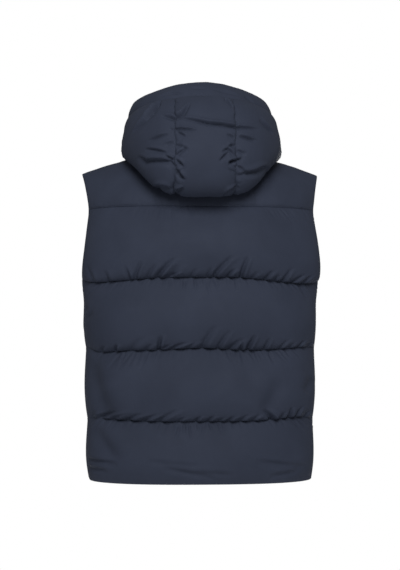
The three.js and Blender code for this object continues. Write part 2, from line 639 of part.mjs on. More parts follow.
// A box between limits across, up and out of the zip, counted from a place on its course.
function block([fromX, toX], [low, high], [inside, outside], place) {
  const geometry = new THREE.BoxGeometry(toX - fromX, high - low, outside - inside);
  geometry.translate((fromX + toX) / 2, (low + high) / 2, (inside + outside) / 2);
  return geometry.applyMatrix4(place);
}

const acrossX = (half) => [-half, half];
const union = (geometries) => geometries.map(solid).reduce((all, one) => all.add(one));

function addZip() {
  const course = zipCourse();
  addPair("zip_tape", zipBand(course, SEAM.gap / 2, ZIP.tapeX, ZIP.tapeIn, ZIP.tapeOut), TAPE);
  addWall("zip_chain", zipBand(course, -ZIP.chainX, ZIP.chainX, ZIP.chainIn, ZIP.chainOut), METAL);
  const [end, before] = [course[course.length - 1], course[course.length - 2]];
  const up = end.clone().sub(before).normalize();
  const place = new THREE.Matrix4().makeBasis(vector(1, 0, 0), up, vector(0, -up.z, up.y)).setPosition(end);
  const whole = [-SLIDER.below, SLIDER.above];
  const arch = [SLIDER.archHalf, SLIDER.archHalf + SLIDER.archLeg];
  const slider = union([
    block(acrossX(SLIDER.halfWidth), whole, [SLIDER.backIn, SLIDER.backOut], place),
    block(acrossX(SLIDER.halfWidth), whole, [SLIDER.frontIn, SLIDER.frontOut], place),
    block(acrossX(SLIDER.postX), [ZIP.gap, SLIDER.above], [SLIDER.backIn, SLIDER.frontOut], place),
    ...[1, -1].map((side) => block(
      [SLIDER.railX, SLIDER.halfWidth].map((x) => x * side).sort((a, b) => a - b),
      whole, [ZIP.tapeOut + ZIP.gap, SLIDER.frontOut], place,
    )),
    ...[1, -1].map((side) => block(
      acrossX(SLIDER.archX), arch.map((u) => SLIDER.archAt + u * side).sort((a, b) => a - b),
      [SLIDER.frontIn, SLIDER.archTop], place,
    )),
    block(
      acrossX(SLIDER.archX), acrossX(arch[1]).map((u) => SLIDER.archAt + u),
      [SLIDER.archTop - 0.01, SLIDER.archTop + SLIDER.archLeg], place,
    ),
  ]);
  vest.add(meshOf("zip_slider", slider, METAL));

  const pivot = vector(0, SLIDER.archAt, PULL.pivotOut).applyMatrix4(place);
  const hanging = new THREE.Matrix4().makeBasis(vector(1, 0, 0), vector(0, 0, 1), vector(0, -1, 0))
    .setPosition(pivot);
  const bar = new THREE.CylinderGeometry(PULL.barRadius, PULL.barRadius, 2 * PULL.armOut, 20)
    .rotateZ(Math.PI / 2).applyMatrix4(hanging);
  const pull = union([
    bar,
    ...[1, -1].map((side) => block(
      [PULL.armIn, PULL.armOut].map((x) => x * side).sort((a, b) => a - b),
      [-PULL.plateFrom - 0.5, PULL.barRadius], acrossX(PULL.thick / 2), hanging,
    )),
    block(acrossX(PULL.plateX), [-PULL.plateTo, -PULL.plateFrom], acrossX(PULL.thick / 2), hanging),
  ]);
  vest.add(meshOf("zip_pull", pull, METAL));

  const foot = vector(0, course[0].y, LEVEL.hem);
  const upright = new THREE.Matrix4().makeBasis(vector(1, 0, 0), vector(0, 0, 1), vector(0, -1, 0))
    .setPosition(foot);
  add("zip_box", block(acrossX(ZIP.boxX), [0, ZIP.boxHeight], [ZIP.boxIn, ZIP.boxOut], upright), METAL);
}

addZip();

export default vest;
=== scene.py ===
import math

import bpy
import numpy as np
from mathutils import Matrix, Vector


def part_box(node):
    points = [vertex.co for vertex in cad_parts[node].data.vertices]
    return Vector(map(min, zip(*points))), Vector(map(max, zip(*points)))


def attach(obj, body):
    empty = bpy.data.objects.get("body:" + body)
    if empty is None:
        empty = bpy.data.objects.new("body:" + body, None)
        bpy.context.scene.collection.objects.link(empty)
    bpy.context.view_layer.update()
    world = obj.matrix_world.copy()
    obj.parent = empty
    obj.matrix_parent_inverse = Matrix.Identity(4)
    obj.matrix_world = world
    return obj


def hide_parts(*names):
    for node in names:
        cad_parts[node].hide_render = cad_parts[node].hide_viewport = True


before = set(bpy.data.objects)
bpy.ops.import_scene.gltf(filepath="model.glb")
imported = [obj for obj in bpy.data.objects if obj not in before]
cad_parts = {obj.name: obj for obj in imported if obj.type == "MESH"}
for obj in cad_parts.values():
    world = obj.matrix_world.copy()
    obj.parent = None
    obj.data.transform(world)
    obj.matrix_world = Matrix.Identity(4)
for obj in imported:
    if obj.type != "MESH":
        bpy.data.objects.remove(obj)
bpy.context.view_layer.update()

# A hooded down vest, filled out as when it is worn. Each cloth panel is a grid of points that is
# laid out over the hollow form, filled, and then relaxed as cloth with a little spare width, so
# that it puckers along its seams. Shapes are in millimetres until a mesh is made.

MM = 0.001

LEVEL = {"hem": -683.0, "lower": -557.0, "waist": -410.0, "chest": -271.0, "yoke": -129.0}
QUILT = [LEVEL[name] for name in ("yoke", "chest", "waist", "lower", "hem")]
NECK = {"y": 5.0, "side": 82.0, "back": 65.0, "front": 106.0,
        "side_z": -4.0, "back_z": -18.0, "front_z": -86.0}
SHOULDER_TIP = (245.0, -52.0)
# Gap between panels, which lap where it is negative, the wall's thickness where nothing fills it,
# and how far back the side seams lie.
GAP, WALL, SIDE_Y = -1.0, 3.0, 20.0
# How far from the middle the fronts stop, over the zip's tapes.
ZIP_X = 7.1
NECK_TILT = {"side": 36.0, "back": 10.0, "front": 8.0}

FIGURE_Z = np.array([-683, -640, -557, -410, -320, -271, -200, -129], float)
FIGURE = {
    "side": np.array([228, 230, 232, 235, 236, 243, 238, 238], float),
    "back": np.array([124, 125, 126, 127, 130, 133, 134, 127], float),
    "front": np.array([134, 136, 138, 141, 146, 148, 145, 133], float),
}
ROUNDNESS = {"back": 2.5, "front": 2.3}
ARMHOLE = {"back": 56.0, "front": -60.0, "corner": 3.0}
# How far the filling stands out and sags, and over what distance it thins towards an edge.
PUFF = {"back": 25.0, "front": 23.0, "yoke": 9.0, "hood": 13.0, "brim": 7.0,
        "sag": 6.0, "side": 150.0, "edge": 70.0, "zip": 45.0}
# Share of the filling that is left at a seam of the hood.
SEAM_FILL = 0.55

HOOD_BEARING = np.array([0, 25, 50, 75, 95, 125, 155, 180], float)
# Distance out and height of the roll, underside, fold, back, crown, brim seam and rim.
HOOD = np.array([
    [79, 12, 118, -42, 163, -96, 203, -48, 189, 28, 148, 77, 98, 121],
    [80, 13, 116, -36, 160, -90, 198, -44, 184, 28, 147, 75, 98, 119],
    [86, 16, 112, 6, 148, -31, 174, -16, 167, 32, 146, 68, 109, 111],
    [91, 18, 114, 18, 146, -5, 152, 6, 147, 36, 145, 58, 131, 100],
    [92, 18, 114, 17, 143, 2, 146, 13, 143, 33, 143, 50, 136, 88],
    [97, -2, 108, 2, 118, 5, 124, 12, 128, 21, 130, 31, 127, 66],
    [109, -46, 113, -38, 116, -30, 119, -22, 121, -14, 123, -6, 128, 32],
    [111, -66, 115, -58, 118, -50, 121, -43, 123, -37, 125, -30, 130, 8],
], float)
# The hood stands up from the neck seam, then has the rows of the table. Half its centre's width.
HOOD_RISE = 12.0
ROLL, UNDER, FOLD, BACK, CROWN, BRIM, RIM = range(2, 9)
CENTRE_HALF = 55.0
NECK_COLUMNS, HOOD_SEAM_COLUMN = 9, 4
# How far the hood's seams stray from their lines, and the two waves that they follow.
SEAM_STRAY, STRAY_WAVES = 0.8, (9.1, 20.3)
# Small steps of bearing and row, to measure a slope.
NUDGE_BEARING, NUDGE_ROW = 0.01, 0.02
# Steps of a search for a bearing, and places measured round half a section of the body.
HALVINGS, TURN_SAMPLES = 30, 321


def mix(a, b, t):
    return a + (b - a) * t


def ease(t):
    t = np.clip(t, 0, 1)
    return t * t * (3 - 2 * t)


def thinning(distance, width, power=0.5):
    """Rises from nothing at an edge to one, over the width given."""
    return (1 - (1 - np.clip(distance / width, 0, 1)) ** 2) ** power


def hermite(start, start_slope, end, end_slope, s):
    return (start * (1 + 2 * s) * (1 - s) ** 2 + start_slope * s * (1 - s) ** 2
            + end * s * s * (3 - 2 * s) + end_slope * s * s * (s - 1))


def through(places, values, at, mirrored=False):
    """Values on a smooth curve through a table's rows."""
    at = np.clip(at, places[0], places[-1])
    spread = places.reshape((-1,) + (1,) * (values.ndim - 1))
    slopes = np.zeros_like(values)
    slopes[1:-1] = (values[2:] - values[:-2]) / (spread[2:] - spread[:-2])
    if not mirrored:
        slopes[0] = (values[1] - values[0]) / (places[1] - places[0])
        slopes[-1] = (values[-1] - values[-2]) / (places[-1] - places[-2])
    k = np.clip(np.searchsorted(places, at) - 1, 0, len(places) - 2)
    step = places[k + 1] - places[k]
    s = (at - places[k]) / step
    if values.ndim > 1:
        step, s = step[..., None], s[..., None]
    return hermite(values[k], slopes[k] * step, values[k + 1], slopes[k + 1] * step, s)


def length(v):
    return np.sqrt((v * v).sum(-1))


def unit(v):
    return v / np.maximum(length(v), 1e-9)[..., None]


def mirror(grid):
    return grid * np.array([-1.0, 1.0, 1.0])


# Hollow form of the body

def edge_y(face, z):
    """Where the side seam or the armhole's edge lies, front to back, at each height."""
    rise = np.clip((z - LEVEL["chest"]) / (LEVEL["yoke"] - LEVEL["chest"]), 0, 1)
    power = ARMHOLE["corner"]
    return mix(SIDE_Y, ARMHOLE[face], (1 - (1 - rise) ** power) ** (1 / power))


def body_rows(face, z, count):
    """Points at even spacing from the middle to the side edge at each height, the outward
    direction there, and the distance along the cloth to both edges."""
    z = np.asarray(z, float)
    side, depth = through(FIGURE_Z, FIGURE["side"], z), through(FIGURE_Z, FIGURE[face], z)
    n = ROUNDNESS[face]
    sign = 1 if face == "back" else -1
    middle = np.full_like(z, math.pi / 2) if face == "back" else np.arccos((ZIP_X / side) ** (n / 2))
    away = sign * (edge_y(face, z) + sign * GAP / 2 - NECK["y"]) / depth
    last = np.sign(away) * np.arcsin(np.abs(away) ** (n / 2))
    turn = mix(middle[:, None], last[:, None], np.linspace(0, 1, TURN_SAMPLES)[None, :])
    x = side[:, None] * np.abs(np.cos(turn)) ** (2 / n)
    y = NECK["y"] + sign * depth[:, None] * np.sign(turn) * np.abs(np.sin(turn)) ** (2 / n)
    run = np.zeros_like(x)
    run[:, 1:] = np.cumsum(np.hypot(np.diff(x, axis=1), np.diff(y, axis=1)), axis=1)
    total = run[:, -1]
    points = np.zeros((count + 1, len(z), 3))
    for r in range(len(z)):
        target = np.linspace(0, total[r], count + 1)
        points[:, r, 0] = np.interp(target, run[r], x[r])
        points[:, r, 1] = np.interp(target, run[r], y[r])
        points[:, r, 2] = z[r]
    tangent = np.gradient(points, axis=0)
    out = unit(np.stack([-tangent[..., 1], tangent[..., 0], 0 * tangent[..., 0]], -1))
    outward = points - np.array([0, NECK["y"], 0])
    outward[..., 2] = 0
    out *= np.where((out * outward).sum(-1) < 0, -1, 1)[..., None]
    if face == "back":
        out[0] = (0, 1, 0)
    to_middle = np.linspace(0, 1, count + 1)[:, None] * total[None, :]
    return points, out, to_middle, total[None, :] - to_middle


# Hollow form of the hood

def neck_point(b):
    """The neck seam at a bearing, which is nothing at the back and half a turn at the front."""
    across, away = np.sin(b), np.cos(b)
    depth = np.where(away > 0, NECK["back"], NECK["front"])
    reach = 1 / np.hypot(across / NECK["side"], away / depth)
    z = np.where(away > 0, mix(NECK["side_z"], NECK["back_z"], away ** 2),
                 mix(NECK["side_z"], NECK["front_z"], np.abs(away) ** 1.5))
    return np.stack([reach * across, NECK["y"] + reach * away, z], -1)


def neck_away(b):
    """The level direction away from the neck seam."""
    point = neck_point(b)
    depth = np.where(b > math.pi / 2, NECK["front"], NECK["back"])
    return unit(np.stack([point[..., 0] / NECK["side"] ** 2,
                          (point[..., 1] - NECK["y"]) / depth ** 2, 0 * b], -1))


def neck_out(b, times=1.0):
    """The direction out of the cloth at the neck seam, which tilts up most at the sides."""
    end = np.where(b > math.pi / 2, NECK_TILT["front"], NECK_TILT["back"])
    tilt = times * np.radians(mix(end, NECK_TILT["side"], np.sin(b) ** 4))
    level = neck_away(b) * np.cos(tilt)[..., None]
    level[..., 2] += np.sin(tilt)
    return level


ZIP_BEARING = math.pi - math.asin(ZIP_X / NECK["front"])


def neck_bearing(column):
    column = np.asarray(column, float)
    beyond = column - NECK_COLUMNS
    return np.where(beyond <= 0, (math.pi / 2) * (column / NECK_COLUMNS),
                    mix(math.pi / 2, ZIP_BEARING, beyond / NECK_COLUMNS))


def hood_line(b):
    """The points of the hood's section at a bearing, from the neck seam to the rim."""
    direction = np.stack([np.sin(b), np.cos(b), 0 * b], -1)
    onward = neck_point(b + NUDGE_BEARING) - neck_point(b - NUDGE_BEARING)
    lift = unit(np.cross(onward, neck_out(b))) * 1.5 * GAP
    neck = neck_point(b) + lift
    rise = neck + np.array([0, 0, HOOD_RISE])
    table = through(HOOD_BEARING, HOOD, np.degrees(b), mirrored=True)
    rows = [neck, rise]
    for k in range(7):
        point = direction * table[..., 2 * k, None]
        point[..., 1] += NECK["y"]
        point[..., 2] += table[..., 2 * k + 1]
        rows.append(point)
    return np.stack(rows, -2)


def hood_point(b, row):
    b, row = np.broadcast_arrays(np.asarray(b, float), np.asarray(row, float))
    line = hood_line(b)
    slopes = np.empty_like(line)
    slopes[..., 1:-1, :] = (line[..., 2:, :] - line[..., :-2, :]) / 2
    slopes[..., 0, :] = (0, 0, HOOD_RISE)
    slopes[..., -1, :] = line[..., -1, :] - line[..., -2, :]
    k = np.clip(np.floor(row).astype(int), 0, RIM - 1)

    def pick(values, index):
        return np.take_along_axis(values, index[..., None, None], axis=-2)[..., 0, :]

    s = (row - k)[..., None]
    return hermite(pick(line, k), pick(slopes, k), pick(line, k + 1), pick(slopes, k + 1), s)


def hood_out(b, row):
    across = hood_point(b + NUDGE_BEARING, row) - hood_point(b - NUDGE_BEARING, row)
    low = np.maximum(row - NUDGE_ROW, 0)
    up = hood_point(b, np.minimum(row + NUDGE_ROW, RIM)) - hood_point(b, low)
    out = unit(np.cross(up, across))
    return np.where((row < NUDGE_ROW)[..., None], neck_out(b), out)


def bearing_at_x(x, row, at_front):
    """The bearing at which each row of the hood is this far to the side."""
    low = np.full_like(row, math.pi * 0.8 if at_front else 0.0)
    high = np.full_like(row, math.pi if at_front else math.pi / 3)
    for _ in range(HALVINGS):
        middle = (low + high) / 2
        beyond = hood_point(middle, row)[..., 0] > x
        raise_low = beyond == at_front
        low, high = np.where(raise_low, middle, low), np.where(raise_low, high, middle)
    return (low + high) / 2


def hood_bearings(columns, rows, gap_side):
    half = mix(neck_point(neck_bearing(HOOD_SEAM_COLUMN))[0], CENTRE_HALF, ease(rows / FOLD))
    slow, quick = STRAY_WAVES
    stray = np.sin(slow * rows) + 0.7 * np.sin(quick * rows + 1)
    half = half + SEAM_STRAY * ease(rows - ROLL) * stray
    seam = bearing_at_x(half + gap_side * GAP / 2, rows, False)[None, :]
    front = bearing_at_x(np.full_like(rows, ZIP_X), rows, True)[None, :]
    size = np.abs(columns)[:, None]
    first, last = neck_bearing(HOOD_SEAM_COLUMN), ZIP_BEARING
    share = (neck_bearing(size) - first) / (last - first)
    inside = seam * (columns[:, None] / HOOD_SEAM_COLUMN)
    beyond = np.sign(columns)[:, None] * mix(seam, front, share)
    return np.where(size <= HOOD_SEAM_COLUMN, inside, beyond)


# Cloth

# Share of the last motion that a step keeps, stiffness along the threads and the diagonals, and the
# outward push of the down.
CARRY, STRETCH, SHEAR, PRESSURE = 0.86, 0.9, 0.25, 0.01


def outward(grid):
    """A direction straight off a grid at each point, longer where its cells are larger."""
    return np.cross(np.gradient(grid, axis=0), np.gradient(grid, axis=1))


def both_sides(inner, out, fill):
    """A panel that crosses the middle, from the half of it on the wearer's left."""
    inner, out = (np.concatenate([mirror(grid[:0:-1]), grid]) for grid in (inner, out))
    return inner, out, np.concatenate([fill[:0:-1], fill])


def on_side(side, *grids):
    """Grids as they are for the wearer's left, and mirrored for the right."""
    return grids if side > 0 else tuple(mirror(grid) for grid in grids)


def sewn_round(shape):
    """Marks the points on the four edges of a panel."""
    pinned = np.zeros(shape, bool)
    pinned[[0, -1], :] = True
    pinned[:, [0, -1]] = True
    return pinned


def pull(p, w, a, b, rest, stiffness):
    """Moves two sets of points along the lines between them towards their rest distances."""
    d = p[b] - p[a]
    n = length(d)
    s = stiffness * (n - rest) / (n * (w[a] + w[b]) + 1e-9)
    move = d * s[..., None]
    p[a] += move * w[a][..., None]
    p[b] -= move * w[b][..., None]


def ranges(count, step, of):
    """Slices that split a row of constraints into sets which share no points."""
    span = count - step
    for first in range(of):
        a = slice(first, span, of)
        b = slice(first + step, count, of)
        size = min(len(range(*a.indices(count))), len(range(*b.indices(count))))
        if size:
            run = (size - 1) * of + 1
            yield slice(first, first + run, of), slice(first + step, first + step + run, of)


def relax(p, base, pinned, rest, steps, hold, bend, guard):
    """Cloth that is pushed out lightly, keeps its own lengths and stays near its base form."""
    columns, rows = p.shape[:2]
    w = np.where(pinned, 0.0, 1.0)
    across, up, rising, falling = rest
    last = p.copy()
    every = slice(None)
    for step in range(steps):
        drift = (p - last) * CARRY * w[..., None]
        last = p.copy()
        p += drift
        p += unit(outward(p)) * (PRESSURE * w)[..., None]
        p += (base - p) * (hold * w)[..., None]
        for a, b in ranges(columns, 1, 2):
            pull(p, w, (a, every), (b, every), across[a], STRETCH)
            pull(p, w, (a, slice(0, -1)), (b, slice(1, None)), rising[a], SHEAR)
            pull(p, w, (a, slice(1, None)), (b, slice(0, -1)), falling[a], SHEAR)
        for a, b in ranges(rows, 1, 2):
            pull(p, w, (every, a), (every, b), up[:, a], STRETCH)
        for a, b in ranges(columns, 2, 4):
            two = across[a] + across[slice(a.start + 1, a.stop + 1, a.step)]
            pull(p, w, (a, every), (b, every), two, bend)
        for a, b in ranges(rows, 2, 4):
            two = up[:, a] + up[:, slice(a.start + 1, a.stop + 1, a.step)]
            pull(p, w, (every, a), (every, b), two, bend)
        guard(p)
        p[pinned] = base[pinned]
    return p


def rests(base, across_lengths, spare_up):
    """Lengths that the cloth keeps: across, up, and along the two diagonals of each cell."""
    up = length(np.diff(base, axis=1)) * (1 + spare_up)
    rising, falling = length(base[1:, 1:] - base[:-1, :-1]), length(base[1:, :-1] - base[:-1, 1:])
    looser = 1 + spare_up / 2
    return across_lengths, up, rising * looser, falling * looser


def smooth_noise(shape, scale, seed):
    """Noise between about -1 and 1 whose bumps are some points wide each way."""
    source = np.random.default_rng(seed)
    cells = [max(int(n / s), 1) + 3 for n, s in zip(shape, scale)]
    coarse = source.uniform(-1, 1, cells)
    result = coarse
    for axis, n in enumerate(shape):
        at = np.linspace(1, cells[axis] - 2.001, n)
        k = at.astype(int)
        moved = np.moveaxis(result, axis, 0)
        a, b, c, d = moved[k - 1], moved[k], moved[k + 1], moved[np.minimum(k + 2, cells[axis] - 1)]
        s = (at - k).reshape((-1,) + (1,) * (moved.ndim - 1))
        value = b + 0.5 * s * (c - a + s * (2 * a - 5 * b + 4 * c - d + s * (3 * (b - c) + d - a)))
        result = np.moveaxis(value, 0, axis)
    return result


def finer(grid, breaks_a=(), breaks_b=()):
    """Twice as many cells each way, on smooth curves through the points between the breaks."""
    for axis, breaks in enumerate((breaks_a, breaks_b)):
        moved = np.moveaxis(grid, axis, 0)
        ends = [0, *breaks, len(moved) - 1]
        parts = []
        for start, stop in zip(ends, ends[1:]):
            part = moved[start:stop + 1]
            before = np.concatenate([[2 * part[0] - part[1]], part[:-2]])
            after = np.concatenate([part[2:], [2 * part[-1] - part[-2]]])
            between = (9 * (part[:-1] + part[1:]) - before - after) / 16
            made = np.empty((2 * len(part) - 1,) + part.shape[1:])
            made[::2], made[1::2] = part, between
            parts.append(made if not parts else made[1:])
        grid = np.moveaxis(np.concatenate(parts), 0, axis)
    return grid


# Meshes

# Turns of the points that round an open edge, how round it is, and over what height that starts.
EDGE_TURNS = np.radians([135.0, 90.0, 45.0])
EDGE_ROUND, EDGE_RUN = 0.55, 18.0


def rounded_edge(outer, inner, axis, at_end, lowest):
    """Adds points that round an open edge from the outer face over to the inner one, wherever the
    edge is above the lowest height given."""
    o, i = np.moveaxis(outer, axis, 0), np.moveaxis(inner, axis, 0)
    if at_end:
        o, i = o[::-1], i[::-1]
    edge, under = o[0], i[0]
    centre, ahead = (edge + under) / 2, unit(o[0] - o[1])
    reach = EDGE_ROUND * length(edge - centre) * ease((edge[..., 2] - lowest) / EDGE_RUN)
    added = [centre + (edge - centre) * math.cos(turn) + ahead * (reach * math.sin(turn))[..., None]
             for turn in EDGE_TURNS]
    o = np.concatenate([np.stack(added), o])
    i = np.concatenate([np.stack([under] * len(EDGE_TURNS)), i])
    if at_end:
        o, i = o[::-1], i[::-1]
    return np.moveaxis(o, 0, axis), np.moveaxis(i, 0, axis)


def cell_faces(point, columns, rows, corners):
    """Four-sided faces between the points of a grid, through their corners in the order given."""
    i, j = np.meshgrid(np.arange(columns), np.arange(rows), indexing="ij")
    return np.stack([point(i + a, j + b) for a, b in corners], -1).reshape(-1, 4).tolist()


def wall_mesh(name, outer, inner, step):
    """Closed wall between a fine outer grid and every few points of the inner grid under it. The
    inner points picked leave out those that a rounded edge repeats."""
    columns, rows = outer.shape[0] - 1, outer.shape[1] - 1
    ci = [*range(0, columns - len(EDGE_TURNS), step), columns]
    rj = [*range(0, rows - len(EDGE_TURNS), step), rows]
    picked = inner[np.ix_(ci, rj)]
    offset = (columns + 1) * (rows + 1)
    wide = len(rj)

    def top(i, j):
        return i * (rows + 1) + j

    def under(a, b):
        return offset + a * wide + b

    faces = cell_faces(top, columns, rows, ((0, 0), (1, 0), (1, 1), (0, 1)))
    faces += cell_faces(under, len(ci) - 1, wide - 1, ((0, 0), (0, 1), (1, 1), (1, 0)))
    smooth = len(faces)
    last_a, last_b = len(ci) - 1, wide - 1
    for k in range(last_a):
        span = range(ci[k], ci[k + 1] + 1)
        faces.append([top(m, 0) for m in reversed(span)] + [under(k, 0), under(k + 1, 0)])
        faces.append([top(m, rows) for m in span] + [under(k + 1, last_b), under(k, last_b)])
    for k in range(last_b):
        span = range(rj[k], rj[k + 1] + 1)
        faces.append([top(0, m) for m in span] + [under(0, k + 1), under(0, k)])
        faces.append([top(columns, m) for m in reversed(span)]
                     + [under(last_a, k), under(last_a, k + 1)])
    points = np.concatenate([outer.reshape(-1, 3), picked.reshape(-1, 3)]) * MM
    mesh = bpy.data.meshes.new(name)
    mesh.from_pydata(points.tolist(), [], faces)
    if faces_in(outer, inner):
        mesh.flip_normals()
    flags = np.zeros(len(faces), bool)
    flags[:smooth] = True
    mesh.polygons.foreach_set("use_smooth", flags)
    lay = np.zeros((len(points), 3), np.float32)
    lay[:offset] = cloth_lay(outer).reshape(-1, 3)
    lay[offset:] = cloth_lay(inner)[np.ix_(ci, rj)].reshape(-1, 3)
    mesh.attributes.new("lay", "FLOAT_VECTOR", "POINT").data.foreach_set("vector", lay.ravel())
    mesh.update()
    made = bpy.data.objects.new(name, mesh)
    bpy.context.scene.collection.objects.link(made)
    return made


def faces_in(outer, inner):
    """Whether the outer grid's own direction points into the wall."""
    return ((outer - inner) * outward(outer)).sum() < 0


def cloth_lay(grid):
    """Distance along the cloth from one corner, across and up, in millimetres."""
    lay = np.zeros(grid.shape)
    middle = grid.shape[1] // 2
    across = length(np.diff(grid[:, middle], axis=0))
    lay[1:, :, 0] = np.cumsum(across)[:, None]
    up = length(np.diff(grid, axis=1)).mean(axis=0)
    lay[:, 1:, 1] = np.cumsum(up)[None, :]
    return lay


# Body panels

ROWS_IN_BAFFLE, BAFFLES = 36, 4
BODY_STEPS = {"back": 75, "front": 72}
# How steeply a baffle may hang over the line below it, how near the line, and how far it rolls.
OVERHANG = {"slope": 0.3, "slack": 0.15, "extra": 7.0}
# Spare width and height of the cloth all over, and the spare width at a baffle's top and foot.
SPARE, SPARE_TOP, SPARE_LOW = 0.002, 0.006, 0.012
# Least height of the cloth over the inner face, and how far the rows crowd towards the lines.
BODY_LEAST, ROW_CROWDING = 0.6, 0.55
# Shares of the filling at the zip and at the hem, how much of its height the lowest baffle uses, how
# much the filling varies, over how many columns and rows, and the shares of the way down a baffle at
# which its puckered top ends, its puckered foot starts and it starts to roll.
BAFFLE = {"at_zip": 0.2, "at_hem": 0.35, "lowest": 0.94, "swell": 0.07, "swell_cells": (18, 22),
          "top": 0.3, "foot": 0.62, "roll": 0.72}
RIPPLE, RIPPLE_CELLS = 0.2, (6, 12)
COARSE = {"rows": 1, "steps": 80, "quick": 20, "hold": 0.02, "bend": 0.2}
FINE = {"rows": 2, "steps": 18, "quick": 6, "hold": 0.08, "bend": 0.05}
# Grooves and puckers: how strong, how many rows from their line, and how far to each side.
GROOVE_STRENGTH, MARK_ROWS, GROOVE_REACH, PUCKER_REACH = 1.75, 60, 225, 232
# How quickly grooves and folds fade where the filling ends.
MARK_FADE, FOLD_FADE = 3.5, 3

# How far the quilting lines of the back stray from level, at places across it seen from behind.
WAVE_X = np.array([-240, -225, -188, -129, -70, -40, 9, 39, 88, 147, 206, 228, 240], float)
WAVES = np.array([
    [0, 0, 0, 0, 0, 0, 0, 0, 0, 0, 0, 0, 0],
    [0, -7, -10, -5, 0, 0, 0, 0, -1, -5, -8, -5, 0],
    [0, 1, 0, -4, -5, -3, -1, -2, -5, -6, -9, 0, 0],
    [0, 2, 6, 2, 0, 0, 0, 0, 0, 2, 4, 2, 0],
    [0, 0, 0, 0, 0, 0, 0, 0, 0, 0, 0, 0, 0],
], float)

# Soft folds, between two places seen from behind or from the front, with depth and half width.
# A fold is a groove with a ridge along its upper side.
BACK_FOLDS = [
    (222, -430, 176, -560, 9.0, 17), (214, -572, 160, -640, 8.0, 15), (-150, -470, -112, -545, 6.5, 16),
    (-196, -500, -216, -470, 6.0, 12), (232, -320, 221, -336, 4.0, 5), (224, -352, 208, -336, 3.5, 4),
    (228, -638, 160, -641, 5.5, 5), (226, -655, 180, -656, 5.0, 5), (82, -646, -24, -669, 4.5, 6),
    (110, -634, 5, -644, 2.6, 5), (-96, -634, -200, -652, 4.4, 6), (-126, -666, -182, -659, 4.8, 6),
    (20, -655, -60, -662, 2.8, 5), (150, -312, 60, -300, 1.6, 18), (-60, -450, 40, -470, 1.6, 20),
]
FRONT_FOLDS = [
    (200, -440, 168, -540, 4.5, 14), (196, -330, 214, -380, 4.0, 9), (60, -632, 190, -641, 2.4, 5),
    (20, -650, 90, -643, 2.0, 5), (206, -600, 170, -640, 4.0, 12), (150, -655, 214, -648, 2.6, 5),
]

# Grooves that run up from the quilting lines of the back: place on the line seen from behind, how
# far the upper end lies to the side, height, depth and half width.
BACK_GROOVES = {
    "chest": [
        (212, 4, 30, 3.0, 4.0), (185, 0, 22, 3.5, 4.0), (144, 5, 27, 3.5, 3.2),
        (133, -15, 36, 4.0, 3.2), (110, -18, 27, 3.5, 3.5), (90, -33, 37, 6.0, 3.6),
        (72, -16, 9, 5.0, 2.6), (62, -13, 23, 3.5, 5.0), (25, -10, 16, 2.6, 3.2),
        (-7, -7, 19, 3.5, 3.0), (-19, -36, 41, 5.5, 3.6), (-46, -12, 15, 6.0, 3.0),
        (-72, -11, 41, 6.5, 3.2), (-95, -10, 15, 3.0, 3.0), (-120, -14, 21, 5.5, 3.0),
        (-139, -6, 13, 4.0, 2.6), (-155, -13, 29, 5.0, 3.0), (-175, -19, 17, 6.0, 3.0),
        (-197, -10, 14, 4.0, 3.4),
    ],
    "waist": [
        (200, -10, 12, 4.0, 3.0), (171, -5, 13, 6.0, 2.8), (140, -24, 26, 3.0, 5.0),
        (112, -12, 12, 3.0, 3.0), (88, -6, 28, 7.0, 3.2), (83, -16, 9, 6.0, 2.6),
        (66, -32, 12, 5.0, 3.0), (30, -14, 12, 3.0, 3.2), (3, -25, 45, 4.5, 5.0),
        (-28, -22, 37, 4.5, 3.6), (-50, -26, 23, 5.5, 3.6), (-72, -3, 16, 6.0, 3.0),
        (-86, -12, 29, 7.0, 3.2), (-119, -8, 23, 4.5, 3.0), (-150, -12, 17, 3.5, 3.0),
        (-170, -5, 10, 3.0, 3.0), (-189, -7, 14, 5.0, 3.0), (-212, -6, 12, 4.0, 3.4),
    ],
    "lower": [
        (222, -13, 15, 5.0, 4.0), (205, -42, 19, 6.0, 3.6), (176, -16, 10, 3.5, 3.0),
        (148, -28, 15, 4.5, 3.2), (116, -27, 15, 4.5, 3.2), (88, -36, 23, 4.5, 3.6),
        (50, -12, 9, 2.6, 3.0), (16, -9, 11, 4.5, 2.8), (-8, -11, 11, 4.5, 2.8),
        (-30, -8, 8, 3.0, 2.8), (-48, -11, 11, 4.5, 2.8), (-72, -13, 13, 3.5, 3.2),
        (-96, -13, 13, 3.5, 3.2), (-134, 17, 22, 7.0, 3.6), (-152, -4, 14, 4.0, 3.2),
        (-169, 0, 21, 6.5, 3.2), (-183, -8, 21, 5.0, 3.0), (-206, -4, 15, 5.0, 3.6),
    ],
}
SEAMS = ("yoke", "chest", "waist", "lower", "hem")


def fullness(v):
    """How full a baffle is at a share of the way down it, fullest a little below its middle."""
    return np.sin(math.pi * np.clip(v, 0, 1) ** 1.3) ** 0.62


def wave(x, z):
    """How far a place on the back moves up with the quilting lines that stray from level."""
    lines = np.stack([through(WAVE_X, row, x) for row in WAVES])
    level = np.interp(-np.broadcast_to(z, x.shape), [-q for q in QUILT], range(5))
    k = np.clip(level.astype(int), 0, 3)
    low = np.take_along_axis(lines, k[None], 0)[0]
    high = np.take_along_axis(lines, k[None] + 1, 0)[0]
    return mix(low, high, level - k)


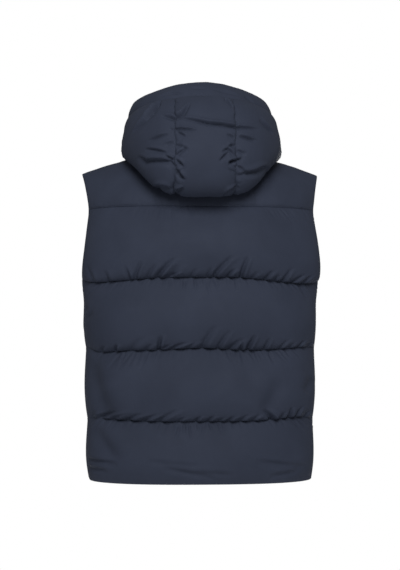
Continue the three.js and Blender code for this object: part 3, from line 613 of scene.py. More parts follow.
def fold_field(x, z, folds):
    """Depth of folds at places seen from behind or from the front."""
    field = np.zeros(np.broadcast(x, z).shape)
    for from_x, from_z, to_x, to_z, depth, width in folds:
        dx, dz = to_x - from_x, to_z - from_z
        span = math.hypot(dx, dz)
        share = ((x - from_x) * dx + (z - from_z) * dz) / span ** 2
        across = ((x - from_x) * dz - (z - from_z) * dx) / span
        if dx > 0:
            across = -across
        ends = np.clip(1 - np.abs(2 * share - 1) ** 3, 0, 1)
        ridge = 0.45 * np.exp(-(((across - 1.7 * width) / (1.3 * width)) ** 2))
        field += depth * ends * (ridge - np.exp(-((across / width) ** 2)))
    return field


def groove_field(x, height, grooves):
    """Depth of grooves at places across the panel and heights above its quilting line, in which
    each groove has a ridge on one side and runs out towards its upper end."""
    field = np.zeros(x.shape)
    for at, lean, tall, depth, width in grooves:
        share = np.clip(height / tall, -0.05, 1.4)
        bow = lean * np.maximum(share, 0) ** 1.3
        across = (x - at - bow) / math.hypot(1, lean / tall)
        ends = np.clip(1 - share, 0, 1) ** 0.7
        ridge = 0.55 * np.exp(-(((across + 2.0 * width) / (1.4 * width)) ** 2))
        field += GROOVE_STRENGTH * depth * ends * (ridge - np.exp(-(np.abs(across / width) ** 1.7)))
    return field


def hidden_grooves(seed, reach):
    """Uneven grooves like those of the back, for a quilting line that the photo hides."""
    source = np.random.default_rng(seed)
    at, grooves = 12.0, []
    while at < reach:
        tall = source.uniform(10, 42)
        lean, depth = -tall * source.uniform(0, 1.3), source.uniform(3, 6.5)
        grooves.append((at, lean, tall, depth, source.uniform(2.8, 4.5)))
        at += source.uniform(12, 34)
    return grooves


def fine_puckers(x, depth_below, seed, reach):
    """Short fine grooves that fan out down from a seam, thick in some places and thin in others."""
    source = np.random.default_rng(seed)
    field, at = np.zeros(x.shape), -reach
    while at < reach:
        crowd = 0.5 + 0.5 * math.sin(at / 38 + seed)
        tall, depth = source.uniform(12, 20 + 26 * crowd), source.uniform(1.8, 3.2 + 3.8 * crowd)
        lean, width = tall * (at / reach * 0.8 + source.uniform(-0.25, 0.25)), source.uniform(2.0, 3.4)
        share = depth_below / tall
        ends = np.clip(1 - share, 0, 1) * ease(share / 0.12)
        across = (x - at - lean * share) / width
        field += depth * ends * (0.5 * np.exp(-((across - 1.9) ** 2)) - np.exp(-(across ** 2)))
        at += source.uniform(5, 9 + 12 * (1 - crowd))
    return field


def body_levels():
    """Height, share of the way down its baffle, and baffle of each row, from the hem up."""
    shares = (1 - np.cos(math.pi * np.linspace(0, 1, ROWS_IN_BAFFLE + 1))) / 2
    shares = mix(np.linspace(0, 1, ROWS_IN_BAFFLE + 1), shares, ROW_CROWDING)
    z, v, baffle = [], [], []
    for k in range(BAFFLES):
        for share in shares[:-1]:
            z.append(mix(QUILT[k], QUILT[k + 1], share))
            v.append(share)
            baffle.append(k)
    z.append(QUILT[-1])
    v.append(1.0)
    baffle.append(BAFFLES - 1)
    return np.array(z[::-1]), np.array(v[::-1]), np.array(baffle[::-1])


def settle_body(p, base, inner, out, spare, pinned, stage):
    """Relaxes a quilted panel whose upper baffles hang over the quilting lines."""
    per_baffle = stage["rows"] * ROWS_IN_BAFFLE
    steps = stage["steps"]
    across = length(np.diff(base, axis=0)) * (1 + SPARE + spare)[None, :]
    lines = inner[..., 2]

    def guard(p):
        depth = ((p - inner) * out).sum(-1) - WALL
        p += out * np.maximum(BODY_LEAST - WALL - depth, 0)[..., None]
        for k in range(1, BAFFLES):
            row = k * per_baffle
            limit = lines[:, row, None] - OVERHANG["slope"] * np.maximum(depth, 0)
            upper = slice(row + 1, row + per_baffle // 2)
            lower = slice(row - per_baffle // 2, row)
            p[:, upper, 2] = np.maximum(p[:, upper, 2], limit[:, upper] + OVERHANG["slack"])
            p[:, lower, 2] = np.minimum(p[:, lower, 2], limit[:, lower] - OVERHANG["slack"])

    rest = rests(base, across, SPARE)
    return relax(p, base, pinned, rest, steps, stage["hold"], stage["bend"], guard)


def body_form(face, z, v, low):
    """Inner face of a quilted panel, the direction out of it and how full it is, at each point."""
    inner, out, to_middle, to_side = body_rows(face, z, BODY_STEPS[face])
    side_fill = np.where(z > LEVEL["chest"], thinning(to_side, PUFF["edge"], 0.5),
                         thinning(to_side, PUFF["side"], 1.3))
    at_hem = np.where(low & (v == 1), BAFFLE["at_hem"], 1.0)
    fill = fullness(v * np.where(low, BAFFLE["lowest"], 1.0)) * at_hem * side_fill
    if face == "front":
        fill = fill * mix(BAFFLE["at_zip"], 1, thinning(to_middle, PUFF["zip"]))
    else:
        inner, out, fill = both_sides(inner, out, fill)
        inner[..., 2] += wave(inner[..., 0], z[None, :])
    return inner, out, fill


def quilt_marks(base, inner, fill, seed, grooves):
    """Grooves above the quilting lines and puckers below them, as depths on the finer grid."""
    small, fine = np.zeros(fill.shape), np.zeros(fill.shape)
    x = inner[..., 0]
    row = np.arange(fill.shape[1])[None, :]
    for k, name in enumerate(SEAMS[1:-1], 1):
        line = 2 * ROWS_IN_BAFFLE * (BAFFLES - k)
        height = base[..., 2] - inner[:, line, 2][:, None]
        above, below = (row > line) & (row < line + MARK_ROWS), (row < line) & (row > line - MARK_ROWS)
        marks = grooves[name] if grooves else hidden_grooves(seed + 7 * k, GROOVE_REACH)
        small += groove_field(x, height, marks) * above
        fine += fine_puckers(x, -height, seed + 3 * k, PUCKER_REACH) * below
    fine += 0.5 * fine_puckers(x, LEVEL["yoke"] - inner[..., 2], seed + 2, PUCKER_REACH)
    shown = np.clip(fill * MARK_FADE, 0, 1)
    return small * shown, fine * shown


def body_panel(face, seed, folds, grooves):
    """A quilted panel of the body, as the settled grids of its inner and outer faces."""
    z, v, baffle = body_levels()
    low = baffle == BAFFLES - 1
    inner, out, fill = body_form(face, z, v, low)
    rows = fill.shape[1]
    seam_rows = [k * ROWS_IN_BAFFLE for k in range(BAFFLES + 1)]
    sag = PUFF["sag"] * fill * v
    roll = OVERHANG["extra"] * fill * ease((v - BAFFLE["roll"]) / 0.2)
    drop = np.where(low, sag * (1 - v), sag + roll)
    swell = 1 + BAFFLE["swell"] * smooth_noise(fill.shape, BAFFLE["swell_cells"], seed)
    folded = fold_field(inner[..., 0], inner[..., 2], folds) * np.clip(fill * FOLD_FADE, 0, 1)
    base = inner + out * (WALL + PUFF[face] * fill * swell + folded)[..., None]
    base[..., 2] -= drop

    spare = SPARE_TOP * ease((BAFFLE["top"] - v) / 0.3) + SPARE_LOW * ease((v - BAFFLE["foot"]) / 0.3)
    pinned = sewn_round(fill.shape)
    pinned[:, seam_rows] = True
    ripple = RIPPLE * smooth_noise(fill.shape, RIPPLE_CELLS, seed + 1) * (fill > 0)
    start = base + out * ripple[..., None]
    start[pinned] = base[pinned]
    p = settle_body(start, base, inner, out, spare, pinned, COARSE)

    breaks = seam_rows[1:-1]
    p, base, inner, out = (finer(grid, (), breaks) for grid in (p, base, inner, out))
    fill = np.clip(finer(fill[..., None], (), breaks)[..., 0], 0, 1)
    spare = np.interp(np.arange(2 * rows - 1) / 2, np.arange(rows), spare)
    small, fine = quilt_marks(base, inner, fill, seed, grooves)
    pinned = sewn_round(fill.shape)
    pinned[:, [2 * row for row in seam_rows]] = True
    base = base + out * small[..., None]
    p = p + out * small[..., None]
    p[pinned] = base[pinned]
    p = settle_body(p, base, inner, out, spare, pinned, FINE)
    return inner, p + out * fine[..., None]


# Yokes

# How straight a yoke leaves its lower seam and how straight it reaches the shoulder, and its points.
YOKE_RISE, YOKE_OVER = 0.7, {"back": 0.5, "front": 0.35}
YOKE_PARTS, BODY_COLUMNS, YOKE_ROWS = 5, 22, 30


def yoke_top(face, column):
    """Upper edge of a yoke, the direction out of the cloth there and the way the yoke runs."""
    side = 1 if face == "back" else -1
    part = np.clip((column - NECK_COLUMNS) / (BODY_COLUMNS - NECK_COLUMNS), 0, 1)
    shoulder = np.stack([mix(NECK["side"], SHOULDER_TIP[0], part),
                         np.full_like(part, NECK["y"] + side * GAP / 2),
                         mix(NECK["side_z"], SHOULDER_TIP[1], part)], -1)
    near = np.minimum(column, NECK_COLUMNS)
    bearing = neck_bearing(near if face == "back" else 2 * NECK_COLUMNS - near)
    neck = neck_point(bearing)
    neck[..., 1] += np.where(column >= NECK_COLUMNS, side * GAP / 2, 0)
    away, cloth = neck_away(bearing), neck_out(bearing, 2)
    upward = -away * cloth[..., 2:3]
    upward[..., 2] += np.hypot(cloth[..., 0], cloth[..., 1])
    over = np.array([0.0, -side, 0.0])
    turn = ease((near - NECK_COLUMNS + 4) / 6)[..., None]
    slope = unit(mix(upward, over, turn))
    down = np.array([SHOULDER_TIP[0] - NECK["side"], 0, SHOULDER_TIP[1] - NECK["side_z"]])
    shoulder_up = unit(np.cross(down, [0, 1, 0]))
    beyond = (column > NECK_COLUMNS)[..., None]
    point = np.where(beyond, shoulder, neck)
    return point, np.where(beyond, shoulder_up, neck_out(bearing)), np.where(beyond, over, slope)


def half_yoke(face):
    """Inner face of a yoke on the wearer's left, or of the whole back yoke."""
    count = BODY_COLUMNS * YOKE_PARTS
    column = np.arange(count + 1) / YOKE_PARTS
    base, base_out, to_middle, to_side = (grid[:, 0] for grid in
                                          body_rows(face, [LEVEL["yoke"] + GAP / 2], count))
    top, top_out, slope = yoke_top(face, column)
    reach = length(top - base)[:, None]
    rise = reach * np.array([0, 0, YOKE_RISE])
    over = slope * reach * YOKE_OVER[face]
    s = np.linspace(0, 1, YOKE_ROWS + 1)[None, :, None]
    inner = hermite(base[:, None], rise[:, None], top[:, None], over[:, None], s)
    out = unit(outward(inner)) * (1 if face == "front" else -1)
    if face == "back":
        out[0, :, 0] = 0
    out[:, 0], out[:, -1] = base_out, top_out
    fill = np.sin(math.pi * s[..., 0]) ** 0.7 * thinning(to_side, PUFF["edge"])[:, None]
    if face == "front":
        fill = fill * thinning(to_middle, PUFF["zip"])[:, None]
        return inner, out, fill
    return both_sides(inner, out, fill)


# How a panel that is sewn all round settles: the ripple that it starts with and over how many
# cells, its least height over the inner face, its stiffness in bending and its spare height.
PANEL = {"ripple_cells": (3, 3), "least": 1.2, "bend": 0.12, "spare": 0.003}


def settle_panel(base, inner, spare, seed, steps, ripple=0.3, hold=0.03, detail=None):
    """Relaxes a panel that is sewn all round, then gives it its small creases on a finer grid."""
    pinned = sewn_round(base.shape[:2])
    out = unit(base - inner)
    start = base + out * (ripple * smooth_noise(pinned.shape, PANEL["ripple_cells"], seed))[..., None]
    start[pinned] = base[pinned]

    def guard(p):
        depth = ((p - inner) * out).sum(-1)
        p += out * np.maximum(PANEL["least"] - depth, 0)[..., None]

    across = length(np.diff(base, axis=0)) * (1 + (spare[1:] + spare[:-1]) / 2)
    rest = rests(base, across, PANEL["spare"])
    p = relax(start, base, pinned, rest, steps, hold, PANEL["bend"], guard)
    p, inner = finer(p), finer(inner)
    if detail is not None:
        p = p + unit(p - inner) * detail(inner)[..., None]
    return inner, p


def yoke_panel(face, seed):
    inner, out, fill = half_yoke(face)
    rows = fill.shape[1]
    s = np.linspace(0, 1, rows)[None, :]
    swell = 1 + 0.12 * smooth_noise(fill.shape, (14, 9), seed)
    fine = smooth_noise(fill.shape, (3.2, 12), seed + 2) * np.exp(-s / 0.22) * 0.5
    slant = smooth_noise(fill.shape, (5, 8), seed + 5) * 0.45
    shown = np.clip(fill * FOLD_FADE, 0, 1)
    base = inner + out * (WALL + PUFF["yoke"] * fill * swell + (fine + slant) * shown)[..., None]
    spare = 0.012 * np.exp(-s / 0.2) + 0 * fill
    return settle_panel(base, inner, spare, seed, 60)


# Hood

# Points across the brim and up it.
BRIM_GRID = (217, 17)
# Columns of a hood panel: in the centre, and in its sides up to a bearing and beyond it.
CENTRE_STEPS, SIDE_STEPS, SIDE_BREAK, FRONT_STEPS = 41, 61, 10, 41

# Sharp creases of the hood, as runs of places seen from behind (x and z), with depth and width.
HOOD_CREASES = [
    ([(49, 36), (-4, 22), (-52, 18), (-97, 18)], 4.5, 4.0),
    ([(78, 41), (57, 36), (40, 41), (26, 58)], 4.5, 4.0),
    ([(66, 14), (45, 12), (14, 6)], 3.2, 3.0),
    ([(100, -10), (66, 3)], 3.0, 3.5),
    ([(-60, 0), (-91, -11)], 4.0, 4.0),
    ([(117, -31), (102, -44), (63, -50), (55, -58)], 4.0, 4.5),
    ([(88, -79), (59, -89)], 3.5, 4.0),
    ([(-56, -70), (-88, -60), (-113, -44)], 4.0, 4.5),
    ([(-39, -50), (-54, -48), (-64, -44)], 4.5, 3.0),
    ([(-23, -50), (-42, -34)], 3.0, 3.0),
    ([(55, -60), (36, -77)], 3.5, 3.5),
    ([(72, -40), (55, -48)], 4.0, 3.0),
    ([(127, 19), (82, 61)], 4.0, 4.5),
    ([(107, 41), (80, 63)], 3.0, 3.5),
    ([(60, -20), (30, -32)], 2.0, 4.0),
    ([(-55, -20), (-38, -26)], 3.0, 3.0),
    ([(-98, 40), (-126, 18)], 3.0, 5.0),
    ([(53, -41), (35, -29)], 3.0, 3.2), ([(53, -47), (39, -58)], 3.0, 3.2),
    ([(55, -66), (39, -76)], 2.6, 3.2), ([(57, -97), (37, -87)], 3.0, 3.4),
    ([(78, 72), (96, 40)], 3.0, 3.8), ([(106, -24), (68, -36)], 2.6, 3.6),
    ([(-27, -37), (-39, -30), (-50, -40)], 3.0, 3.2), ([(-39, -54), (-51, -47)], 2.8, 3.0),
    ([(-38, 1), (-52, -8)], 2.8, 3.0), ([(-56, -30), (-70, -37)], 2.8, 3.0),
    ([(-54, -54), (-72, -64)], 2.6, 3.2), ([(-33, -97), (-48, -90), (-60, -86)], 3.2, 3.4),
    ([(-37, 74), (-50, 53)], 3.0, 3.4),
    ([(52, 6), (36, -6)], 2.4, 3.0), ([(57, -14), (72, -22)], 2.4, 3.0),
]
BRIM_CREASES = [
    ([(-14, 95), (-40, 92), (-70, 86)], 1.6, 3.0), ([(84, 84), (60, 90), (38, 87)], 1.6, 3.0),
    ([(30, 98), (-4, 96)], 1.2, 3.2), ([(-78, 90), (-98, 78)], 1.4, 3.2),
]
# Creases lie a little lower on the cloth than on the form under it: how far, around which height.
CREASE_DROP, CREASE_DROP_Z, CREASE_DROP_REACH = 8.0, 25.0, 30.0
CREASE_STRENGTH = 2.0
# Filling of a hood panel: over how many rows it starts, how full it is below the roll, over what
# part of the last row and what distance it thins to a seam, and how uneven it is over how many cells.
HOOD_FILL = {"start": 0.9, "below": 0.12, "brim": 0.9, "side": 42, "uneven": 1.1, "cells": (13, 13)}
# The hood's belly: how far it hangs, its middle and half width in rows, and how far forward it goes.
BELLY = {"out": 6.5, "row": FOLD + 0.42, "wide": 0.42, "from_y": 60, "side": 25}
HOOD_CRUMPLE, HOOD_CRUMPLE_CELLS = 0.35, (11, 15)
HOOD_SETTLE = {"ripple": 0.15, "hold": 0.05}
# Rows of the hood's panels, as the place that each run of rows ends at and how many it has.
HOOD_STEPS = [(ROLL - 1, 3), (ROLL, 5), (UNDER, 11), (FOLD, 13), (BACK, 24), (CROWN, 24), (BRIM, 18)]


def crease_field(x, z, creases):
    """Depth of sharp creases, each with a low ridge on its upper side, at places seen from behind."""
    field = np.zeros(x.shape)
    for run, depth, width in creases:
        nearest, side, share = np.full(x.shape, 1e9), np.zeros(x.shape), np.zeros(x.shape)
        for k, ((x0, z0), (x1, z1)) in enumerate(zip(run, run[1:])):
            dx, dz = x1 - x0, z1 - z0
            t = np.clip(((x - x0) * dx + (z - z0) * dz) / (dx * dx + dz * dz), 0, 1)
            away = np.hypot(x - x0 - t * dx, z - z0 - t * dz)
            above = np.sign(((x - x0) * dz - (z - z0) * dx) * (1 if dx < 0 else -1))
            closer = away < nearest
            nearest = np.where(closer, away, nearest)
            side = np.where(closer, above, side)
            share = np.where(closer, (k + t) / (len(run) - 1), share)
        ends = np.clip(1 - np.abs(2 * share - 1) ** 2.5, 0, 1)
        signed = nearest * side / (width * mix(0.45, 0.8, ends))
        ridge = 0.5 * np.exp(-(((signed - 1.6) / 1.1) ** 2))
        field += CREASE_STRENGTH * depth * ends * (ridge - np.exp(-(np.abs(signed) ** 1.6)))
    return field


def hood_rows():
    rows, start = [], 0
    for stop, count in HOOD_STEPS:
        rows += list(np.linspace(start, stop, count, endpoint=False))
        start = stop
    return np.array(rows + [float(BRIM)])


def hood_grid(columns, rows, gap_side, row_gap):
    """Inner face of a hood panel, the direction out of it, and the distance to its nearer side."""
    bearing = hood_bearings(columns, rows, gap_side)
    size, row = np.abs(bearing), np.broadcast_to(rows, bearing.shape)
    speed = length(hood_point(size, row + 0.01) - hood_point(size, np.maximum(row - 0.01, 0))) / 0.02
    place = row + row_gap * GAP / 2 / speed
    inner, out = hood_point(size, place), hood_out(size, place)
    left = np.where(bearing < 0, -1.0, 1.0)[..., None] * np.array([1.0, 0, 0]) + np.array([0.0, 1, 1])
    inner, out = inner * left, out * left
    middle = np.abs(columns) < 1e-9
    inner[middle, :, 0] = 0
    out[middle, :, 0] = 0
    near = np.minimum(length(inner - inner[:1]), length(inner - inner[-1:]))
    return inner, out, near, row


def hood_panel(columns, gap_side, seed, seen_left=True):
    """A panel of the hood, as the settled grids of its inner and outer faces."""
    rows = hood_rows()
    row_gap = np.where(rows == BRIM, -1.0, 0.0)[None, :]
    inner, out, near, row = hood_grid(columns, rows, gap_side, row_gap)
    start = ease((row - ROLL) / (FOLD - ROLL))
    end = mix(SEAM_FILL, 1, thinning(BRIM - row, HOOD_FILL["brim"]))
    first = HOOD_FILL["start"]
    fill = np.minimum(row, first) / first * mix(HOOD_FILL["below"], 1, start)
    fill = fill * end * mix(SEAM_FILL, 1, thinning(near, HOOD_FILL["side"]))
    at_seam = thinning(near, 8) * np.minimum(row, 1) * thinning(BRIM - row, 0.12)
    soft = smooth_noise(fill.shape, HOOD_FILL["cells"], seed) * HOOD_FILL["uneven"]
    soft = soft * at_seam * ease((row - UNDER) / 1.5)
    hang = BELLY["out"] * np.exp(-(((row - BELLY["row"]) / BELLY["wide"]) ** 2))
    hang = hang * (inner[..., 1] > BELLY["from_y"]) * mix(0.5, 1, thinning(near, BELLY["side"]))
    base = inner + out * (WALL + PUFF["hood"] * fill + soft + hang)[..., None]
    spare = 0.003 + 0.006 * np.exp(-near / 18)

    def detail(fine_inner):
        fine_near = finer(near[..., None])[..., 0]
        fine_row = finer(row[..., None])[..., 0]
        shown = ease((fine_row - FOLD + 0.6) / 0.8) * thinning(fine_near, 6)
        shown = shown * thinning(BRIM - fine_row, 0.1)
        x = fine_inner[..., 0] if seen_left else -fine_inner[..., 0]
        z = fine_inner[..., 2]
        z = z + CREASE_DROP * np.exp(-(((z - CREASE_DROP_Z) / CREASE_DROP_REACH) ** 2))
        creased = crease_field(x, z, HOOD_CREASES) * (fine_inner[..., 1] > 20)
        crumple = smooth_noise(x.shape, HOOD_CRUMPLE_CELLS, seed + 3) * HOOD_CRUMPLE
        return (creased + crumple + seam_puckers(fine_near, fine_row, seed)) * shown

    return settle_panel(base, inner, spare, seed, 30, detail=detail, **HOOD_SETTLE)


def seam_puckers(near, row, seed):
    """Short grooves that leave a seam on either side of it, close together and deeper in the
    lower half of the hood."""
    source = np.random.default_rng(seed + 9)
    field = np.zeros(near.shape)
    k = FOLD - 0.1
    while k < BRIM:
        heavy = math.exp(-(((k - BACK + 0.1) / 0.55) ** 2))
        depth, reach = source.uniform(0.5, 1.1 + 2.2 * heavy), source.uniform(9, 20 + 16 * heavy)
        centre = k + source.uniform(-0.018, 0.018) * near
        wide = source.uniform(0.024, 0.042)
        field -= depth * np.exp(-(((row - centre) / wide) ** 2)) * np.clip(1 - near / reach, 0, 1)
        k += source.uniform(0.07, 0.2)
    return field


def brim_panel(seed):
    """The band round the hood's opening, as the settled grids of its inner and outer faces."""
    columns = np.linspace(-2 * NECK_COLUMNS, 2 * NECK_COLUMNS, BRIM_GRID[0])
    rows = np.linspace(BRIM, RIM, BRIM_GRID[1])
    inner, out, near, row = hood_grid(columns, rows, 0, np.where(rows == BRIM, 1.0, 0.0)[None, :])
    share = row - BRIM
    fill = np.maximum(0.55 * (1 - share) ** 6, np.sin(math.pi * np.clip(share, 0, 1)) ** 0.6)
    fill = fill * mix(SEAM_FILL, 1, thinning(near, 30))
    wide, small = smooth_noise(fill.shape, (7, 5), seed), smooth_noise(fill.shape, (3, 6), seed + 4)
    soft = wide * 0.8 + small * 0.3
    lift = PUFF["brim"] * fill + soft * np.clip(share / 0.1, 0, 1) * np.clip((1 - share) / 0.12, 0, 1)
    base = inner + out * (WALL + np.maximum(lift, 0))[..., None]

    def detail(fine_inner):
        at_back = ease((fine_inner[..., 1] - 10) / 20)
        return crease_field(fine_inner[..., 0], fine_inner[..., 2], BRIM_CREASES) * at_back

    return settle_panel(base, inner, 0.006 + 0 * near, seed, 40, detail=detail, **HOOD_SETTLE)


# Materials

CLOTH_BLUE = (0.0295, 0.0355, 0.055)
THREAD = (0.026, 0.031, 0.047, 1)
WEAVE_PITCH, TAPE_PITCH = 0.6, 1.1


def shaded(colour, share):
    return tuple(channel * share for channel in colour) + (1,)


class Finish:
    """A material's nodes, made one after another."""

    def __init__(self, name, roughness, specular, metallic=0.0):
        self.material = bpy.data.materials.new(name)
        self.material.use_nodes = True
        self.nodes, self.links = self.material.node_tree.nodes, self.material.node_tree.links
        self.shader = self.nodes["Principled BSDF"]
        self.shader.inputs["Roughness"].default_value = roughness
        self.shader.inputs["Specular IOR Level"].default_value = specular
        self.shader.inputs["Metallic"].default_value = metallic
        self.normal = None

    def node(self, kind, values=(), **settings):
        made = self.nodes.new(kind)
        for key, value in settings.items():
            setattr(made, key, value)
        for socket, value in dict(values).items():
            made.inputs[socket].default_value = value
        return made

    def place(self, source, scale):
        """Where a point lies, along the cloth in millimetres or in the part in metres, scaled."""
        if source == "lay":
            start = self.node("ShaderNodeAttribute", attribute_name="lay").outputs["Vector"]
        else:
            start = self.node("ShaderNodeTexCoord").outputs["Object"]
        mapping = self.node("ShaderNodeMapping", {"Scale": scale})
        self.links.new(start, mapping.inputs["Vector"])
        return mapping.outputs["Vector"]

    def noise(self, place, scale, detail, distortion=0.0):
        values = {"Scale": scale, "Detail": detail, "Distortion": distortion}
        made = self.node("ShaderNodeTexNoise", values)
        self.links.new(place, made.inputs["Vector"])
        return made.outputs["Fac"]

    def threads(self, place, pitch, direction):
        scale = 2 * math.pi / (20 * pitch)
        made = self.node("ShaderNodeTexWave", {"Scale": scale, "Distortion": 0.3, "Detail": 1.0},
                         bands_direction=direction)
        self.links.new(place, made.inputs["Vector"])
        return made.outputs["Fac"]

    def combine(self, operation, a, b):
        made = self.node("ShaderNodeMath", operation=operation)
        self.links.new(a, made.inputs[0])
        self.links.new(b, made.inputs[1])
        return made.outputs[0]

    def bump(self, height, strength, distance):
        made = self.node("ShaderNodeBump", {"Strength": strength, "Distance": distance})
        self.links.new(height, made.inputs["Height"])
        if self.normal is not None:
            self.links.new(self.normal, made.inputs["Normal"])
        self.normal = made.outputs["Normal"]
        self.links.new(self.normal, self.shader.inputs["Normal"])

    def colours(self, factor, stops):
        ramp = self.node("ShaderNodeValToRGB")
        points = ramp.color_ramp.elements
        points[0].position, points[0].color = stops[0]
        points[1].position, points[1].color = stops[1]
        self.links.new(factor, ramp.inputs["Fac"])
        self.links.new(ramp.outputs["Color"], self.shader.inputs["Base Color"])

    def roughness(self, factor, low, high):
        ranged = self.node("ShaderNodeMapRange", {"To Min": low, "To Max": high})
        self.links.new(factor, ranged.inputs["Value"])
        self.links.new(ranged.outputs["Result"], self.shader.inputs["Roughness"])


def shell_material():
    """Fine plain weave with a soft sheen, faintly uneven in colour, with small crumples."""
    cloth = Finish("shell_cloth", 0.5, 0.05)
    flat = cloth.place("lay", (1, 1, 1))
    warp, weft = cloth.threads(flat, WEAVE_PITCH, "X"), cloth.threads(flat, WEAVE_PITCH, "Y")
    crumple = cloth.noise(cloth.place("lay", (1, 0.55, 1)), 0.085, 4.0, 0.9)
    crease = cloth.noise(cloth.place("lay", (1, 0.35, 1)), 0.21, 2.0, 0.4)
    cloth.bump(crumple, 0.3, 0.0013)
    cloth.bump(crease, 0.2, 0.0006)
    cloth.bump(cloth.combine("MAXIMUM", warp, weft), 0.12, 0.00008)
    patches = cloth.noise(flat, 0.011, 3.0, 0.5)
    cloth.colours(patches, [(0.3, shaded(CLOTH_BLUE, 0.92)), (0.7, shaded(CLOTH_BLUE, 1.08))])
    cloth.roughness(crumple, 0.6, 0.76)
    return cloth.material


def speckled(name, roughness, specular, scale, grain, bump, stops, rough=None, metallic=0.0):
    """A plain finish that one fine noise makes uneven: the scale of its place, the noise's scale and
    detail, the bump's strength and depth, and its colours and roughness at either end."""
    finish = Finish(name, roughness, specular, metallic)
    speckle = finish.noise(finish.place("object", scale), *grain)
    finish.bump(speckle, *bump)
    finish.colours(speckle, stops)
    if rough:
        finish.roughness(speckle, *rough)
    return finish.material


def tape_material():
    """Twill tape beside the zip's teeth."""
    tape = Finish("zip_tape", 0.75, 0.15)
    place = tape.place("object", (1000, 1000, 1000))
    across, up = tape.threads(place, TAPE_PITCH, "DIAGONAL"), tape.threads(place, TAPE_PITCH, "Z")
    tape.bump(tape.combine("ADD", across, up), 0.5, 0.00015)
    shade = tape.noise(place, 0.3, 2.0)
    tape.colours(shade, [(0.25, (0.011, 0.013, 0.02, 1)), (0.75, (0.016, 0.019, 0.028, 1))])
    return tape.material


# Woven shell, spun thread a shade darker, twill tape, moulded plastic and worn lacquered metal
SHELL, TAPE = shell_material(), tape_material()
STITCHING = speckled("sewing_thread", 0.65, 0.2, (1, 1, 1), (1400.0, 2.0), (0.4, 0.0001),
                     [(0.3, THREAD), (0.7, shaded(CLOTH_BLUE, 1.15))])
TEETH = speckled("zip_teeth_plastic", 0.4, 0.4, (1000, 1000, 1000), (1.6, 2.0), (0.2, 0.00006),
                 [(0.2, (0.008, 0.0095, 0.014, 1)), (0.8, (0.011, 0.013, 0.019, 1))], (0.34, 0.48))
SLIDER = speckled("zip_slider_lacquer", 0.35, 0.5, (1000, 1000, 250), (0.9, 4.0), (0.15, 0.00005),
                  [(0.35, (0.012, 0.014, 0.02, 1)), (0.75, (0.03, 0.033, 0.042, 1))], (0.28, 0.5),
                  metallic=0.55)


# Every how many points of the finer grid the inner face has one.
BODY_INNER, SMALL_INNER = 8, 4


def cloth_piece(name, outer, inner, replaces, step=SMALL_INNER, edges=()):
    """Makes a padded wall with its open edges rounded, in place of a node of the frame."""
    for axis, at_end, lowest in edges:
        outer, inner = rounded_edge(outer, inner, axis, at_end, lowest)
    piece = wall_mesh(name, outer, inner, step)
    piece.data.materials.append(SHELL)
    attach(piece, "vest")
    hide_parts(replaces)


# Sewing and zip teeth

# A stitch's size, where its rings of points lie along it and how far out, and how thin its ends are.
STITCH = {"pitch": 3.3, "length": 2.5, "radius": 0.28, "sides": 5,
          "rings": (0, 0.2, 0.8, 1), "lift": (-0.25, 0.2, 0.2, -0.25), "ends": 0.35}


def loft_faces(sides, rings, first, flipped=False):
    """Faces of a closed body through rings of points that are numbered one after another."""
    last = first + (rings - 1) * sides
    faces = [(at + j, at + (j + 1) % sides, at + (j + 1) % sides + sides, at + j + sides)
             for at in range(first, last, sides) for j in range(sides)]
    faces.append(tuple(range(first + sides - 1, first - 1, -1)))
    faces.append(tuple(range(last, last + sides)))
    return [face[::-1] for face in faces] if flipped else faces


def distances(line):
    """How far each point of a line lies along it."""
    return np.concatenate([[0], np.cumsum(length(np.diff(line, axis=0)))])


def at_distance(line, run, at):
    return np.stack([np.interp(at, run, line[:, c]) for c in range(3)], -1)


def small_piece(name, points, faces, material):
    mesh = bpy.data.meshes.new(name)
    mesh.from_pydata((np.asarray(points) * MM).tolist(), [], faces)
    mesh.materials.append(material)
    mesh.update()
    piece = bpy.data.objects.new(name, mesh)
    bpy.context.scene.collection.objects.link(piece)
    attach(piece, "vest")
    return piece


def stitch_line(line, out):
    """Closed stitches along a run of points on the cloth, as points and faces."""
    run, sides, ends = distances(line), STITCH["sides"], STITCH["radius"] * STITCH["ends"]
    size, lift = np.array([ends, STITCH["radius"], STITCH["radius"], ends]), np.array(STITCH["lift"])
    turn = np.linspace(0, 2 * math.pi, sides, endpoint=False)
    points, faces = [], []
    for start in np.arange(STITCH["pitch"] / 2, run[-1] - STITCH["length"], STITCH["pitch"]):
        at = start + STITCH["length"] * np.array(STITCH["rings"])
        centre, normal = at_distance(line, run, at), unit(at_distance(out, run, at))
        side = unit(np.cross(normal, unit(centre[-1] - centre[0])))
        ring = (centre + normal * lift[:, None])[:, None] + size[:, None, None] * (
            side[:, None] * np.cos(turn)[None, :, None] + normal[:, None] * np.sin(turn)[None, :, None])
        faces += loft_faces(sides, len(at), len(points) * len(at) * sides)
        points.append(ring.reshape(-1, 3))
    return np.concatenate(points), faces


def sew(name, runs):
    """One piece with all the stitches along several runs on the cloth."""
    points, faces, first = [], [], 0
    for line, out in runs:
        made, joined = stitch_line(line, out)
        points.append(made)
        faces += [tuple(first + k for k in face) for face in joined]
        first += len(made)
    small_piece(name, np.concatenate(points), faces, STITCHING)


def rows_to_sew(outer, inner, rows):
    """The runs along some rows of a panel, with the directions out of the cloth there."""
    out = unit(outward(outer))
    if faces_in(outer, inner):
        out = -out
    return [(outer[:, row], out[:, row]) for row in rows]


def columns_to_sew(outer, inner, columns, rows):
    turned = np.swapaxes(outer, 0, 1)[rows], np.swapaxes(inner, 0, 1)[rows]
    return rows_to_sew(*turned, columns)


TOOTH_PITCH = 2.9
